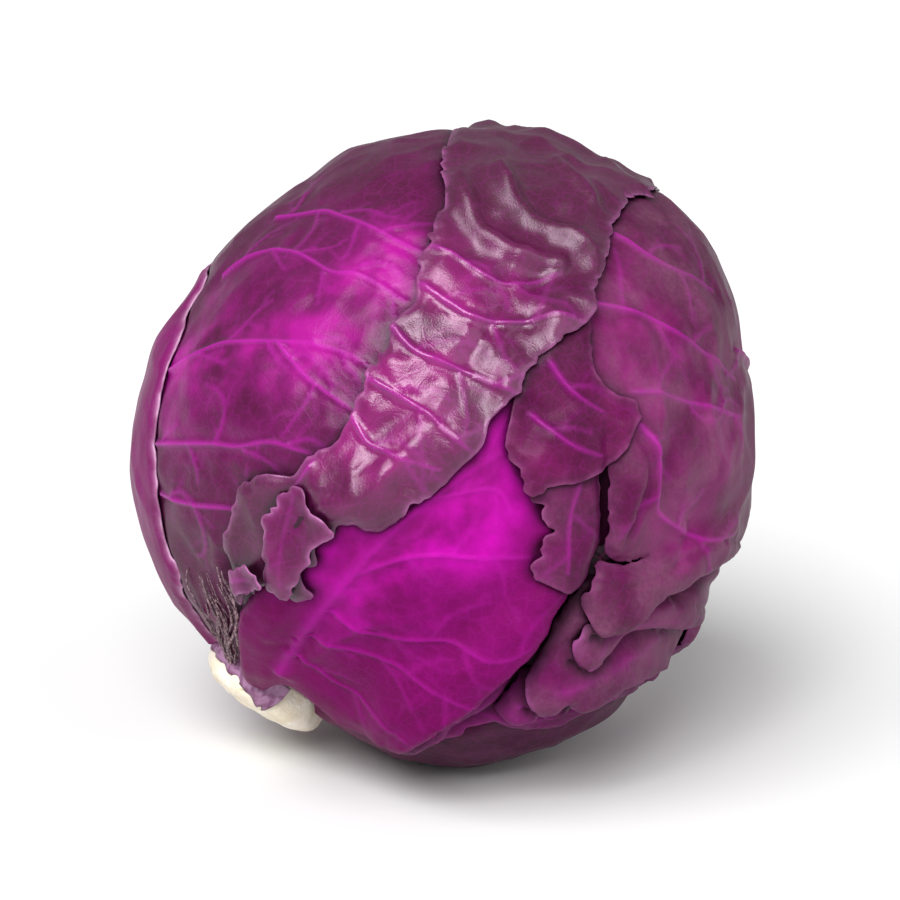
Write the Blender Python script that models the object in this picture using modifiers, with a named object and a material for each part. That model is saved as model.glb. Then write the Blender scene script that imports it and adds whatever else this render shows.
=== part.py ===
"""A red cabbage head, lying on its side with its cut stem towards the lower left of the front view.

The head is a dense heart of pressed leaves, wrapped by separate outer leaves and torn flaps, on a cut
cream stem. Every surface is a height above the head's centre along a direction, so a leaf is laid on
whatever lies under it: the heart comes first, then the leaves from the innermost to the outermost.
"""

import math

import bmesh
import bpy
import numpy as np
from mathutils import Vector

MM = 0.001

# Driving dimensions
HEAD_RADIUS = 78.0 * MM
CENTRE = Vector((0.65 * MM, 1.5 * MM, 78.5 * MM))
WRAP_DEPTH = 4.6 * MM
HEART_CLEARANCE = 0.5 * MM
LEAF_THICKNESS = 0.9 * MM
LEAF_GAP = 0.35 * MM
DRAPE = 7.0 * MM
FULL_RISE = 1.5 * MM
STEM_RADIUS = 16.8 * MM
STEM_END = 81.9 * MM
STEM_SEAT = 70.0 * MM
COLLAR_ANGLE = math.radians(13.9)
REST_RADIUS = 14.0 * MM
DOWN = np.array((0.0, 0.0, -1.0))

# The front view, which the outlines below are drawn in: x to the right and y up, in millimetres from
# the head's centre. A third value of BACK puts a point on the far half of the head.
VIEW_ELEVATION = math.radians(16.0)
EYE_DISTANCE = 1.2
BACK = -1
RIGHT = np.array((1.0, 0.0, 0.0))
UP = np.array((0.0, math.sin(VIEW_ELEVATION), math.cos(VIEW_ELEVATION)))
TOWARD = np.array((0.0, -math.cos(VIEW_ELEVATION), math.sin(VIEW_ELEVATION)))

# The way the cut stem points, as right, up and toward shares of the front view
STEM = -0.60 * RIGHT - 0.79 * UP - 0.10 * TOWARD
STEM = STEM / np.linalg.norm(STEM)

# Spacings of the net's points: along a leaf's edge, along a rib, in the open, and in the heart
EDGE_STEP = 4.6 * MM
RIB_STEP = 7.0 * MM
OPEN_STEP = 10.0 * MM
HEART_STEP = 12.0 * MM
CURVE_STEP = 1.0 * MM

# The head's outline in the front view: angle from the right, anticlockwise, and radius in millimetres
OUTLINE = (
    (0, 79.8), (17, 79.4), (28, 84.0), (45, 85.4), (59, 81.6), (72, 83.0), (84, 80.2), (98, 80.6),
    (108, 79.6), (120, 76.2), (136, 76.6), (149, 75.2), (162, 78.4), (176, 79.8), (192, 80.6),
    (206, 79.4), (220, 76.4), (234, 75.0), (248, 76.4), (260, 81.6), (270, 83.6), (286, 82.6),
    (299, 82.0), (312, 77.4), (325, 74.2), (338, 74.4), (350, 79.8),
)
OUTLINE_BLEND = 8.0

# The deep crease that the front leaf and the right-hand folds turn down into, and its size
CREASE = [(41, 0), (41.4, -12), (41.2, -24), (38.6, -32.5), (33.5, -39.5), (28.5, -47), (22, -53.5),
          (14.5, -59.5), (7, -65.5), (-4, -71.5)]
CREASE_DEPTH = 2.6 * MM
CREASE_WIDTH = 3.6 * MM

# The hollow that the thick folds at the lower right lie in
HOLLOW_CENTRE = (50, -44)
HOLLOW_DEPTH = 5.0 * MM
HOLLOW_WIDTH = 22.0 * MM

# A swollen leaf stands up within this width of its rolled edge, and lies flat again past the fade
SWELL_WIDTH = 5.0 * MM
SWELL_FADE = (7.0 * MM, 18.0 * MM)


def smoothstep(low, high, value):
    share = np.clip((value - low) / (high - low), 0, 1)
    return share * share * (3 - 2 * share)


def unit(vectors):
    return vectors / np.linalg.norm(vectors, axis=-1, keepdims=True)


def head_radius(directions):
    """The rough outer radius of the whole head: the front view's outline, and rounder towards the eye."""
    right, up, toward = directions @ RIGHT, directions @ UP, directions @ TOWARD
    angle = np.degrees(np.arctan2(up, right))
    total, weights = 0.0, 0.0
    for degrees, reach in OUTLINE:
        apart = (angle - degrees + 180) % 360 - 180
        weight = np.exp(-((apart / OUTLINE_BLEND) ** 2))
        total, weights = total + weight * reach * MM, weights + weight
    side = 1 - toward**2
    return HEAD_RADIUS + (total / weights - HEAD_RADIUS) * side**1.5


def on_head(point):
    """The direction of a front-view point, found where the sight line meets the head."""
    x, y = point[0] * MM, point[1] * MM
    side = point[2] if len(point) > 2 else 1
    direction = unit(x * RIGHT + y * UP + 0.05 * TOWARD * side)
    for _ in range(8):
        radius = head_radius(direction[None])[0]
        depth = max(0.0, float(direction @ TOWARD)) * radius
        shrink = 1 - depth / EYE_DISTANCE
        across, above = x * shrink, y * shrink
        flat = math.hypot(across, above)
        limit = 0.9995 * radius
        if flat > limit:
            across, above = across * limit / flat, above * limit / flat
            flat = limit
        depth = math.sqrt(radius**2 - flat**2) * side
        direction = unit(across * RIGHT + above * UP + depth * TOWARD)
    return direction


def curve_through(points, closed):
    """Directions about CURVE_STEP apart on a smooth curve through front-view points."""
    knots = np.array([on_head(point) for point in points])
    count = len(knots)
    spans = count if closed else count - 1
    found = []
    for span in range(spans):
        if closed:
            before, start, end, after = (knots[(span + k) % count] for k in (-1, 0, 1, 2))
        else:
            before, start, end, after = (knots[min(max(span + k, 0), count - 1)] for k in (-1, 0, 1, 2))
        steps = max(2, round(np.linalg.norm(end - start) * HEAD_RADIUS / CURVE_STEP))
        t = np.arange(steps)[:, None] / steps
        found.append(
            0.5 * (2 * start + (end - before) * t + (2 * before - 5 * start + 4 * end - after) * t**2
                   + (3 * start - before - 3 * end + after) * t**3)
        )
    if not closed:
        found.append(knots[-1:])
    return unit(np.concatenate(found))


def distance_to(directions, curve):
    """How far each direction lies from the nearest point of a curve, on the head's surface."""
    nearest = np.full(len(directions), 4.0)
    for part in np.array_split(curve, max(1, len(curve) // 128)):
        nearest = np.minimum(nearest, 2 - 2 * (directions @ part.T).max(1))
    return np.sqrt(np.maximum(nearest, 0)) * HEAD_RADIUS


def inside_of(directions, curve):
    """True inside a closed curve, seen in an equal-distance chart round the curve's middle."""
    middle = unit(curve.mean(0))
    across = unit(np.cross(middle, (0.31, 0.87, 0.38)))
    along = np.cross(middle, across)

    def chart(points):
        angle = np.arccos(np.clip(points @ middle, -1, 1))
        flat = np.stack((points @ across, points @ along), 1)
        return flat * (angle / np.maximum(np.linalg.norm(flat, axis=1), 1e-9))[:, None]

    spot, corner = chart(directions), chart(curve)
    following = np.roll(corner, -1, axis=0)
    inside = np.zeros(len(directions), bool)
    for (ax, ay), (bx, by) in zip(corner, following):
        crosses = (ay > spot[:, 1]) != (by > spot[:, 1])
        slope = (bx - ax) / (by - ay) if by != ay else 0.0
        inside ^= crosses & (spot[:, 0] < ax + slope * (spot[:, 1] - ay))
    return inside


def signed_distance(directions, curve):
    """Positive inside a closed curve and negative outside it."""
    distance = distance_to(directions, curve)
    return np.where(inside_of(directions, curve), distance, -distance)


def ripple(directions, seed, wavelength):
    """A smooth, seeded unevenness from 0 to 1 over the head."""
    draw = np.random.default_rng(seed)
    waves = 14
    ways = unit(draw.normal(size=(waves, 3))) * draw.uniform(0.7, 1.4, (waves, 1))
    phases = draw.uniform(0, 2 * math.pi, waves)
    total = np.sin(directions @ ways.T * (2 * math.pi * HEAD_RADIUS / wavelength) + phases).sum(1)
    return np.clip(0.5 + total / (2.6 * math.sqrt(waves)), 0, 1)


def ridges(directions, lines):
    """The height of raised lines and the depth of grooves: each line is (points, height, width)."""
    height = np.zeros(len(directions))
    for points, rise, width in lines:
        distance = distance_to(directions, curve_through(points, closed=False))
        height += rise * MM * np.exp(-((distance / (width * MM)) ** 2))
    return height


# Each leaf, from the innermost to the outermost. outline: the leaf's edge. ribs: its midrib and main
# side veins as (points, height, width). creases: folds of the whole blade, also (points, height, width).
# lift: how far the edge stands off. puff: how much the blade bulges off what is under it. swell: how
# much a fold low on the head stands up inside its rolled edge.
LEAVES = [
    {
        "name": "leaf_back",
        "outline": [(-34, -58, BACK), (-36, -40, BACK), (-30, -16, BACK), (-27, 14, BACK), (-24, 44, BACK),
                    (-10, 64, BACK), (14, 74, BACK), (36, 70, BACK), (46, 56, BACK), (44, 30, BACK),
                    (36, 4, BACK), (22, -20, BACK), (0, -40, BACK), (-22, -54, BACK)],
        "ribs": [([(-30, -54, BACK), (-16, -32, BACK), (-4, -8, BACK), (4, 16, BACK),
                   (8, 40, BACK)], 2.4, 3.6),
                 ([(-4, -8, BACK), (10, 6, BACK), (22, 16, BACK)], 1.0, 1.8),
                 ([(-10, -20, BACK), (-16, -6, BACK), (-18, 8, BACK)], 1.0, 1.8)],
        "creases": [],
        "lift": 0.4, "puff": 1.4, "swell": 0.0,
    },
    {
        "name": "leaf_under",
        "outline": [(-38, -66, BACK), (-28, -71), (-18, -69), (-8, -62), (6, -54), (16, -47), (28, -40),
                    (42, -36), (60, -34), (66, -34, BACK), (48, -42, BACK), (22, -54, BACK),
                    (-4, -62, BACK), (-32, -64, BACK)],
        "ribs": [([(-30, -67, BACK), (-8, -71, BACK), (14, -71, BACK), (32, -66, BACK)], 1.4, 3.0)],
        "creases": [],
        "lift": 0.3, "puff": 0.6, "swell": 0.0,
    },
    {
        "name": "leaf_left",
        "outline": [(-47, -60), (-47, -47), (-43, -37), (-33, -23), (-20, -10), (-7, 6), (1, 24), (8, 42),
                    (12, 58), (12, 74), (2, 72, BACK), (-16, 62, BACK), (-34, 50, BACK), (-50, 32, BACK),
                    (-60, 10, BACK), (-64, -14, BACK), (-60, -40, BACK)],
        "ribs": [([(-74, 17), (-64.7, 23), (-57.5, 26), (-45.5, 26.8), (-36, 26), (-27, 23.8),
                   (-20, 20)], 1.3, 1.8),
                 ([(-44, 26.5), (-38, 19), (-32.7, 14.5), (-24, 8.5)], 0.9, 1.6),
                 ([(-76, 0), (-61.8, 0), (-54.5, -0.7), (-45.5, 0.5), (-39, -1.3), (-33, -3.5)], 1.3, 1.8),
                 ([(-74, -13), (-64.8, -15.8), (-56, -17), (-48, -20)], 1.0, 1.6),
                 ([(-58, 44), (-48, 50), (-39, 49.6), (-30, 45), (-23.6, 44), (-17.5, 41),
                   (-11, 37)], 1.2, 1.8),
                 ([(-44, 59), (-33, 60.5), (-27, 59), (-18.7, 55.6), (-12.7, 52.6), (-5, 49)], 1.1, 1.8)],
        "creases": [],
        "lift": 0.3, "puff": 1.0, "swell": 0.0,
    },
    {
        "name": "leaf_front",
        "outline": [(-47, -60), (-53, -51), (-53, -44), (-49.5, -38), (-44, -30), (-36, -19), (-24, -9),
                    (-11, 0), (1, 9), (10, 18), (18, 28), (28, 36), (42, 36), (50, 24), (53, 6), (50, -10),
                    (46, -24), (39.5, -31), (35.5, -36.5), (30.8, -42), (26.5, -48.5), (22, -53.5),
                    (16.5, -58), (9.5, -63.5), (1, -68), (-5, -72), (-13, -75), (-22, -73), (-30.5, -68.5),
                    (-35, -65), (-40.5, -61.6)],
        "ribs": [([(-42, -57), (-39, -52), (-33, -44), (-22, -31), (-10, -19), (2, -10),
                   (13, -3)], 2.6, 4.4),
                 ([(-24, -34), (-12, -30), (-3, -29), (6, -30), (12.5, -29.8), (24, -29.5)], 1.2, 1.8),
                 ([(-3, -14), (12.5, -12), (16.8, -18)], 0.9, 1.7),
                 ([(-32, -43), (-24, -48), (-12, -51), (0, -51), (12, -53), (20, -50)], 1.2, 1.8),
                 ([(-36, -50), (-21, -55), (-12, -58), (-3, -61), (6, -64)], 1.0, 1.8),
                 ([(-39, -54), (-29, -62), (-21, -66), (-10, -71)], 0.9, 1.8)],
        "creases": [],
        "lift": 0.5, "puff": 0.8, "swell": 0.8,
    },
    {
        "name": "flap_lower",
        "outline": [(30, 2), (24, -6), (22.4, -14), (24.6, -20), (27.6, -22.5), (24.2, -25.5), (22.6, -29),
                    (21.9, -33.4), (25.8, -35.4), (30.7, -37.3), (35, -36.2), (38.4, -32.4), (40.6, -27),
                    (40.3, -18), (40, -8), (40, 4)],
        "ribs": [([(34, -8), (31, -20), (30, -32)], 0.8, 1.6)],
        "creases": [],
        "lift": 0.6, "puff": 0.8, "swell": 0.3,
    },
    {
        "name": "fold_low",
        "outline": [(36.8, -36.2), (33.3, -41.3), (30, -47), (26.6, -52), (22.6, -57), (20.2, -60.8),
                    (19.6, -63), (21, -65.2), (24.5, -65.6), (27.5, -64.8), (29.5, -63.8), (31, -65.3),
                    (34.4, -64.9), (42.8, -61), (48.8, -58.4), (54, -56), (50, -60, BACK), (34, -64, BACK),
                    (28, -54, BACK), (48, -46, BACK), (64, -42), (54, -38), (44, -36)],
        "ribs": [([(27, -61), (37, -59), (48, -55)], 1.2, 2.6)],
        "creases": [],
        "lift": 0.15, "puff": 0.3, "swell": 1.4,
    },
    {
        "name": "fold_middle",
        "outline": [(38, -44), (34.6, -47), (32.6, -50.5), (31.8, -53), (33.2, -55.4), (37, -55.4),
                    (43, -52.2), (49, -49.3), (55, -47), (62, -45), (58, -49, BACK), (44, -55, BACK),
                    (38, -44, BACK), (56, -28, BACK), (70, -24), (54, -33), (44, -37)],
        "ribs": [([(38, -51), (47, -46.5), (58, -42)], 1.2, 2.6)],
        "creases": [],
        "lift": 0.15, "puff": 0.3, "swell": 1.4,
    },
    {
        "name": "leaf_right",
        "outline": [(46, 72), (37, 62), (33, 52), (29, 42), (27, 32), (31, 20), (37, 9), (40.6, 2),
                    (41.6, -8), (41.9, -19), (42.1, -27.6), (44, -30.7), (47.5, -31.6), (44, -32.4),
                    (41, -31.6), (37.3, -36.4), (35.2, -41.9), (36, -45.6), (39.8, -48), (44.6, -46),
                    (48.2, -43.9), (52.5, -42), (57.5, -40.6), (64, -35.4), (70.5, -29.8), (63, -33, BACK),
                    (49, -45, BACK), (32, -58, BACK), (10, -68, BACK), (-26, -66, BACK), (-38, -58, BACK),
                    (-20, -46, BACK), (6, -30, BACK), (22, -8, BACK), (30, 24, BACK), (38, 50, BACK)],
        "ribs": [([(-26, -61, BACK), (8, -52, BACK), (38, -34, BACK), (60, -8, BACK), (72, 12, BACK),
                   (75, 24)], 2.8, 3.8),
                 ([(42.7, 54.5), (51.3, 49.6), (59.8, 44.8), (68.8, 39.9)], 1.2, 1.9),
                 ([(36, 36), (42.7, 35), (51.9, 32.6), (57.9, 29.6), (67, 23.5), (75, 17)], 1.2, 1.9),
                 ([(47.6, 13), (54.9, 13), (63, 11), (76, 7)], 1.0, 1.8),
                 ([(38, -34, BACK), (42, -10, BACK), (42, 14, BACK)], 1.0, 1.9),
                 ([(60, -8, BACK), (56, 16, BACK), (52, 40, BACK)], 1.0, 1.9)],
        "creases": [([(46.4, 6), (51.3, -1.3), (52.5, -9.2), (54, -17), (61, -22)], 2.4, 2.6),
                    ([(47.5, -31.6), (56.7, -28.2), (66.4, -24.9), (73, -20)], 1.0, 2.4)],
        "lift": 0.4, "puff": 1.5, "swell": 0.0,
    },
    {
        "name": "flap_centre",
        "outline": [(28, 30), (21, 22), (18, 14), (16, 6), (15.2, -0.7), (17.3, -6.2), (19.8, -11),
                    (22, -12.8), (25.8, -11), (30, -10.4), (35.5, -8.5), (41, -5.5), (43.6, -1),
                    (45.8, 4.8), (47.6, 10.3), (42.8, 12.4), (38.4, 16.3), (36, 21), (36, 27), (34, 34)],
        "ribs": [([(26, 20), (31, 13), (38, 8)], 1.0, 1.8),
                 ([(22, 7), (30, 0), (38, -3)], 0.8, 1.7)],
        "creases": [],
        "lift": 0.9, "puff": 1.4, "swell": 0.0,
    },
    {
        "name": "leaf_far_left",
        "outline": [(-48, -62), (-59, -49.5), (-66.6, -40), (-69, -32.8), (-72.2, -25.5), (-74.2, -15),
                    (-75, -6), (-75, 2), (-73.2, 12), (-70.5, 22), (-67, 31), (-61, 40, BACK),
                    (-53, 49, BACK), (-40, 60, BACK), (-20, 71, BACK), (-6, 74, BACK), (-4, 66, BACK),
                    (-14, 45, BACK), (-17, 20, BACK), (-20, -8, BACK), (-28, -34, BACK), (-34, -52, BACK)],
        "ribs": [([(-44, -56, BACK), (-50, -34, BACK), (-50, -6, BACK), (-44, 22, BACK),
                   (-30, 46, BACK)], 2.8, 3.8),
                 ([(-50, -10, BACK), (-62, 4, BACK), (-70, 16, BACK)], 1.1, 1.9),
                 ([(-50, -32, BACK), (-64, -22, BACK), (-74, -10, BACK)], 1.1, 1.9),
                 ([(-50, -12, BACK), (-36, -2, BACK), (-24, 2, BACK)], 1.1, 1.9),
                 ([(-45, 18, BACK), (-34, 24, BACK), (-22, 26, BACK)], 1.1, 1.9),
                 ([(-42, 28, BACK), (-50, 40, BACK), (-54, 48, BACK)], 1.1, 1.9)],
        "creases": [],
        "lift": 0.25, "puff": 1.4, "swell": 0.0,
    },
    {
        "name": "leaf_top",
        "outline": [(-34.5, -3), (-29.6, -0.7), (-26, 4.1), (-23.6, 8.4), (-21.8, 13.8), (-20.5, 18),
                    (-17.5, 20.8), (-15, 23.5), (-14.5, 29), (-12, 32), (-8, 36), (-7.8, 41), (-6.6, 44.7),
                    (-5, 52), (-3.6, 54.6), (-0.8, 60.5), (-0.5, 66.5), (-1, 73), (10, 70, BACK),
                    (24, 58, BACK), (40, 54, BACK), (50, 60, BACK), (52, 64.5), (48.8, 63.5), (45.2, 61),
                    (43.7, 57.5), (41.6, 54.4), (41.3, 47.8), (39.2, 43.5), (36.7, 38), (35.5, 32),
                    (33, 28.7), (28.2, 25.6), (24, 22.9), (21, 18.7), (18.8, 14.4), (15, 10.2), (10.7, 5.3),
                    (8.8, -0.7), (4, -5.6), (-1.5, -11), (-9.6, -17), (-15, -21.3), (-18, -22.5),
                    (-21, -21.9), (-23, -20), (-27.2, -20.4), (-28, -23), (-32, -25.5), (-32, -29.8),
                    (-35.7, -31), (-33.9, -38.6), (-37, -38.8), (-40, -36.4), (-43.6, -34.3), (-48.5, -36),
                    (-52, -40), (-55, -34), (-56.5, -25), (-54.5, -17), (-52.7, -11), (-50.3, -9),
                    (-45.4, -7.6), (-39.4, -8.2), (-37, -5.5)],
        "ribs": [([(-13.3, 29), (-8, 23.5), (-0.8, 20.5), (5.8, 17.8), (11.9, 15), (17, 12.5)], 1.4, 1.8),
                 ([(-6, 40), (0.4, 35.6), (7, 32), (16.7, 31), (27.6, 31.4), (34, 29)], 1.4, 1.8),
                 ([(-5, 50), (4, 46.5), (8.8, 43), (15, 41), (22, 41.7), (27, 43)], 1.2, 1.8),
                 ([(-20.5, 17), (-15, 13.8), (-9, 10.2), (-4.2, 7.2), (0, 3), (6, -2)], 1.2, 1.8),
                 ([(-24, 7), (-20, 0.5), (-15, -1.9), (-9, -4.3), (-2, -6.5)], 1.1, 1.7),
                 ([(-34, -5), (-40, -14), (-42, -22), (-40, -34)], 1.0, 1.7)],
        "creases": [([(2.8, 66), (5.8, 58), (8.8, 53.8), (13.7, 50.5), (18.5, 48.4), (28.2, 46)], 2.4, 2.6),
                    ([(13, 68), (16.7, 62), (21.6, 57.5), (27, 55), (34, 50)], 2.4, 2.6),
                    ([(28, 72), (31.9, 66.5), (36, 61)], 2.0, 2.4)],
        "lift": 0.9, "puff": 1.6, "swell": 0.0,
    },
]


def hull_net(directions):
    """The closed net of triangles over a set of unit directions, each vertex numbered as its direction."""
    net = bmesh.new()
    for direction in directions:
        net.verts.new(direction)
    bmesh.ops.convex_hull(net, input=net.verts, use_existing_faces=False)
    bmesh.ops.triangulate(net, faces=net.faces)
    bmesh.ops.recalc_face_normals(net, faces=net.faces)
    number = net.verts.layers.int.new("number")
    net.verts.index_update()
    for vertex in net.verts:
        vertex[number] = vertex.index
    return net


def spread_directions(step):
    """Even directions all over, about a step apart on the head."""
    count = round(4 * math.pi * HEAD_RADIUS**2 / (0.866 * step**2))
    number = np.arange(count) + 0.5
    height = 1 - 2 * number / count
    turn = number * math.pi * (3 - math.sqrt(5))
    ring = np.sqrt(1 - height**2)
    return np.stack((ring * np.cos(turn), ring * np.sin(turn), height), 1)


def thinned(kept, points, apart):
    """The kept directions, and those of the points that are farther than this from all of them."""
    for point in points:
        if not len(kept) or 2 - 2 * (kept @ point).max() > (apart / HEAD_RADIUS) ** 2:
            kept = np.vstack((kept, point))
    return kept


def rings(axis, sizes):
    """The axis, and rings of directions round it, each (angle from the axis, count)."""
    across = unit(np.cross(axis, UP))
    along = np.cross(axis, across)
    found = [axis[None]]
    for angle, count in sizes:
        turns = np.arange(count) * 2 * math.pi / count
        ring = np.outer(np.cos(turns), across) + np.outer(np.sin(turns), along)
        found.append(math.cos(angle) * axis + math.sin(angle) * ring)
    return np.concatenate(found)


def seat_directions():
    """Rings round the stem, where the leaves end, and over the flat that the head rests on."""
    stem = rings(STEM, ((0.5 * COLLAR_ANGLE, 10), (COLLAR_ANGLE, 24)))
    rest_angle = REST_RADIUS / CENTRE.z
    rest = rings(DOWN, ((0.5 * rest_angle, 6), (rest_angle, 12)))
    return np.concatenate((stem, rest))


def beside(curve, offset):
    """A curve beside another, a distance to its left, or to its right where the distance is negative."""
    onward = np.gradient(curve, axis=0)
    return unit(curve + unit(np.cross(curve, onward)) * offset / HEAD_RADIUS)


def crease_directions():
    """Rows along the deep crease, on its bed and on both its shoulders."""
    bed = curve_through(CREASE, closed=False)
    stride = round(RIB_STEP / CURVE_STEP)
    return np.concatenate([beside(bed, offset)[::stride] for offset in (0.0, -CREASE_WIDTH, CREASE_WIDTH)])


def leaf_net_directions():
    """Where the leaves' shared net has its points: along visible edges, on and beside ribs, and between.

    All the leaves use one net, so two that lie over each other have the same triangles and can't cross.
    """
    kept = seat_directions()
    edge_stride, rib_stride = round(EDGE_STEP / CURVE_STEP), round(RIB_STEP / CURVE_STEP)
    for number, leaf in reversed(list(enumerate(LEAVES))):
        points = leaf["curve"][::edge_stride]
        hidden = is_covered(points, number)
        kept = thinned(kept, points[~hidden], 0.6 * EDGE_STEP)
        leaf["hidden_edge"] = points[hidden]
    for number, leaf in reversed(list(enumerate(LEAVES))):
        for points, _, width in leaf["ribs"] + leaf["creases"]:
            middle = curve_through(points, closed=False)
            for offset in (0.0, -1.3 * width * MM, 1.3 * width * MM):
                row = beside(middle, offset)[::rib_stride]
                kept = thinned(kept, row[~is_covered(row, number)], 0.42 * EDGE_STEP)
    kept = thinned(kept, crease_directions(), 0.5 * EDGE_STEP)
    for leaf in LEAVES:
        kept = thinned(kept, leaf["hidden_edge"], 0.66 * OPEN_STEP)
    return thinned(kept, spread_directions(OPEN_STEP), 0.66 * OPEN_STEP)


def is_covered(directions, number):
    """True where a later leaf lies over these directions, well inside its edge."""
    covered = np.zeros(len(directions), bool)
    for later in LEAVES[number + 1:]:
        covered |= signed_distance(directions, later["curve"]) > 5 * MM
    return covered


def joined(faces):
    """The faces as groups that are joined by edges."""
    left, groups = set(faces), []
    for seed in faces:
        if seed not in left:
            continue
        left.discard(seed)
        group = [seed]
        for face in group:
            for edge in face.edges:
                for other in edge.link_faces:
                    if other in left:
                        left.discard(other)
                        group.append(other)
        groups.append(group)
    return groups


def keep_one_sheet(blade):
    """Leaves the largest edge-joined sheet, with no place where it meets itself at a single vertex."""
    while True:
        pinched = [v for v in blade.verts if sum(edge.is_boundary for edge in v.link_edges) > 2]
        if not pinched:
            break
        smallest = min(joined(list(pinched[0].link_faces)), key=len)
        bmesh.ops.delete(blade, geom=smallest, context="FACES")
    sheets = sorted(joined(list(blade.faces)), key=len)
    for sheet in sheets[:-1]:
        bmesh.ops.delete(blade, geom=sheet, context="FACES")


def heart_height(directions):
    """The heart's radius: the head's, less its wrappers, with the crease and a flat seat for the stem."""
    radius = head_radius(directions) - WRAP_DEPTH
    crease = distance_to(directions, curve_through(CREASE, closed=False))
    radius -= CREASE_DEPTH * np.exp(-((crease / CREASE_WIDTH) ** 2))
    from_hollow = distance_to(directions, on_head(HOLLOW_CENTRE)[None])
    radius -= HOLLOW_DEPTH * np.exp(-((from_hollow / HOLLOW_WIDTH) ** 2))
    to_stem = directions @ STEM
    seat = STEM_SEAT / np.maximum(to_stem, 0.5)
    near_stem = smoothstep(math.cos(2.4 * COLLAR_ANGLE), math.cos(1.15 * COLLAR_ANGLE), to_stem)
    return radius * (1 - near_stem) + np.minimum(seat, radius) * near_stem


def swelling(directions, from_edge):
    """How much a swollen leaf stands up: rounded from its edge, flat farther in, and only low on the head."""
    rounded = np.sqrt(1 - (1 - np.clip(from_edge / SWELL_WIDTH, 0, 1)) ** 2)
    return rounded * (1 - smoothstep(*SWELL_FADE, from_edge)) * smoothstep(0.14, -0.05, directions @ UP)


def lay_leaf(leaf, directions, surface, used):
    """Sets a leaf's inner and outer radius over the surface under it, and returns the surface with it on."""
    from_edge = signed_distance(directions, leaf["curve"])
    from_stem = np.arccos(np.clip(directions @ STEM, -1, 1)) * HEAD_RADIUS
    seed = len(leaf["name"]) * 7 + len(leaf["outline"])
    waves = 0.3 + 1.4 * ripple(directions, seed + 1, 16 * MM)
    edge_lift = leaf["lift"] * MM * waves * np.exp(-np.maximum(from_edge, 0) / (5 * MM))
    puff = leaf["puff"] * MM * ripple(directions, seed, 34 * MM)
    puff *= smoothstep(16 * MM, 34 * MM, from_stem) * smoothstep(0, 9 * MM, from_edge)
    inner = surface + LEAF_GAP + edge_lift + puff + ridges(directions, leaf["creases"])
    inner += leaf["swell"] * MM * swelling(directions, from_edge)
    inside = smoothstep(-1 * MM, 3 * MM, from_edge)
    base = 1.6 * MM * (1 - smoothstep(18 * MM, 46 * MM, from_stem))
    outer = inner + LEAF_THICKNESS + (base + ridges(directions, leaf["ribs"])) * inside
    leaf["inner"], leaf["outer"] = inner, outer
    rise = smoothstep(-DRAPE, -FULL_RISE, from_edge)
    rise[used] = 1
    return surface + (outer - surface) * rise


def cut_blade(net, leaf):
    """The part of the net that a leaf covers, which ends at the stem's collar."""
    blade = net.copy()
    faces = list(blade.faces)
    middles = unit(np.array([face.calc_center_median() for face in faces]))
    covered = inside_of(middles, leaf["curve"]) & (middles @ STEM < math.cos(COLLAR_ANGLE))
    bmesh.ops.delete(blade, geom=[face for face, keep in zip(faces, covered) if not keep], context="FACES")
    keep_one_sheet(blade)
    return blade


def material(name, colour, roughness):
    made = bpy.data.materials.new(name)
    made.use_nodes = True
    shader = made.node_tree.nodes["Principled BSDF"]
    shader.inputs["Base Color"].default_value = (*colour, 1.0)
    shader.inputs["Roughness"].default_value = roughness
    shader.inputs["Metallic"].default_value = 0.0
    return made


def add_solid(name, shape, finish, collection):
    """An object at the head's centre from a finished bmesh."""
    bmesh.ops.recalc_face_normals(shape, faces=shape.faces)
    mesh = bpy.data.meshes.new(name)
    shape.to_mesh(mesh)
    shape.free()
    mesh.materials.append(finish)
    mesh.shade_smooth()
    made = bpy.data.objects.new(name, mesh)
    made.location = CENTRE
    collection.objects.link(made)
    return made


def thicken(blade, leaf, directions, settle):
    """Turns a blade into a closed solid: a second skin joined on round its edge, each at its own height."""
    number = blade.verts.layers.int["number"]
    grown = bmesh.ops.extrude_face_region(blade, geom=blade.faces[:], use_keep_orig=True)
    raised = {part for part in grown["geom"] if isinstance(part, bmesh.types.BMVert)}
    for vertex in blade.verts:
        place = vertex[number]
        height = leaf["outer"][place] if vertex in raised else leaf["inner"][place]
        vertex.co = directions[place] * (height - settle[place])


def add_heart(floor_settle, finish, collection):
    """The dense inside of the head, which the leaves stand out of: rounder and coarser than they are."""
    directions = np.concatenate((seat_directions(), crease_directions()))
    directions = thinned(directions, spread_directions(HEART_STEP), 0.66 * HEART_STEP)
    shape = hull_net(directions)
    below_leaves = HEART_CLEARANCE * (directions @ STEM < math.cos(0.9 * COLLAR_ANGLE))
    height = heart_height(directions) - below_leaves
    for vertex in shape.verts:
        vertex.co = directions[vertex.index] * (height - floor_settle(directions))[vertex.index]
    return add_solid("heart", shape, finish, collection)


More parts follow.
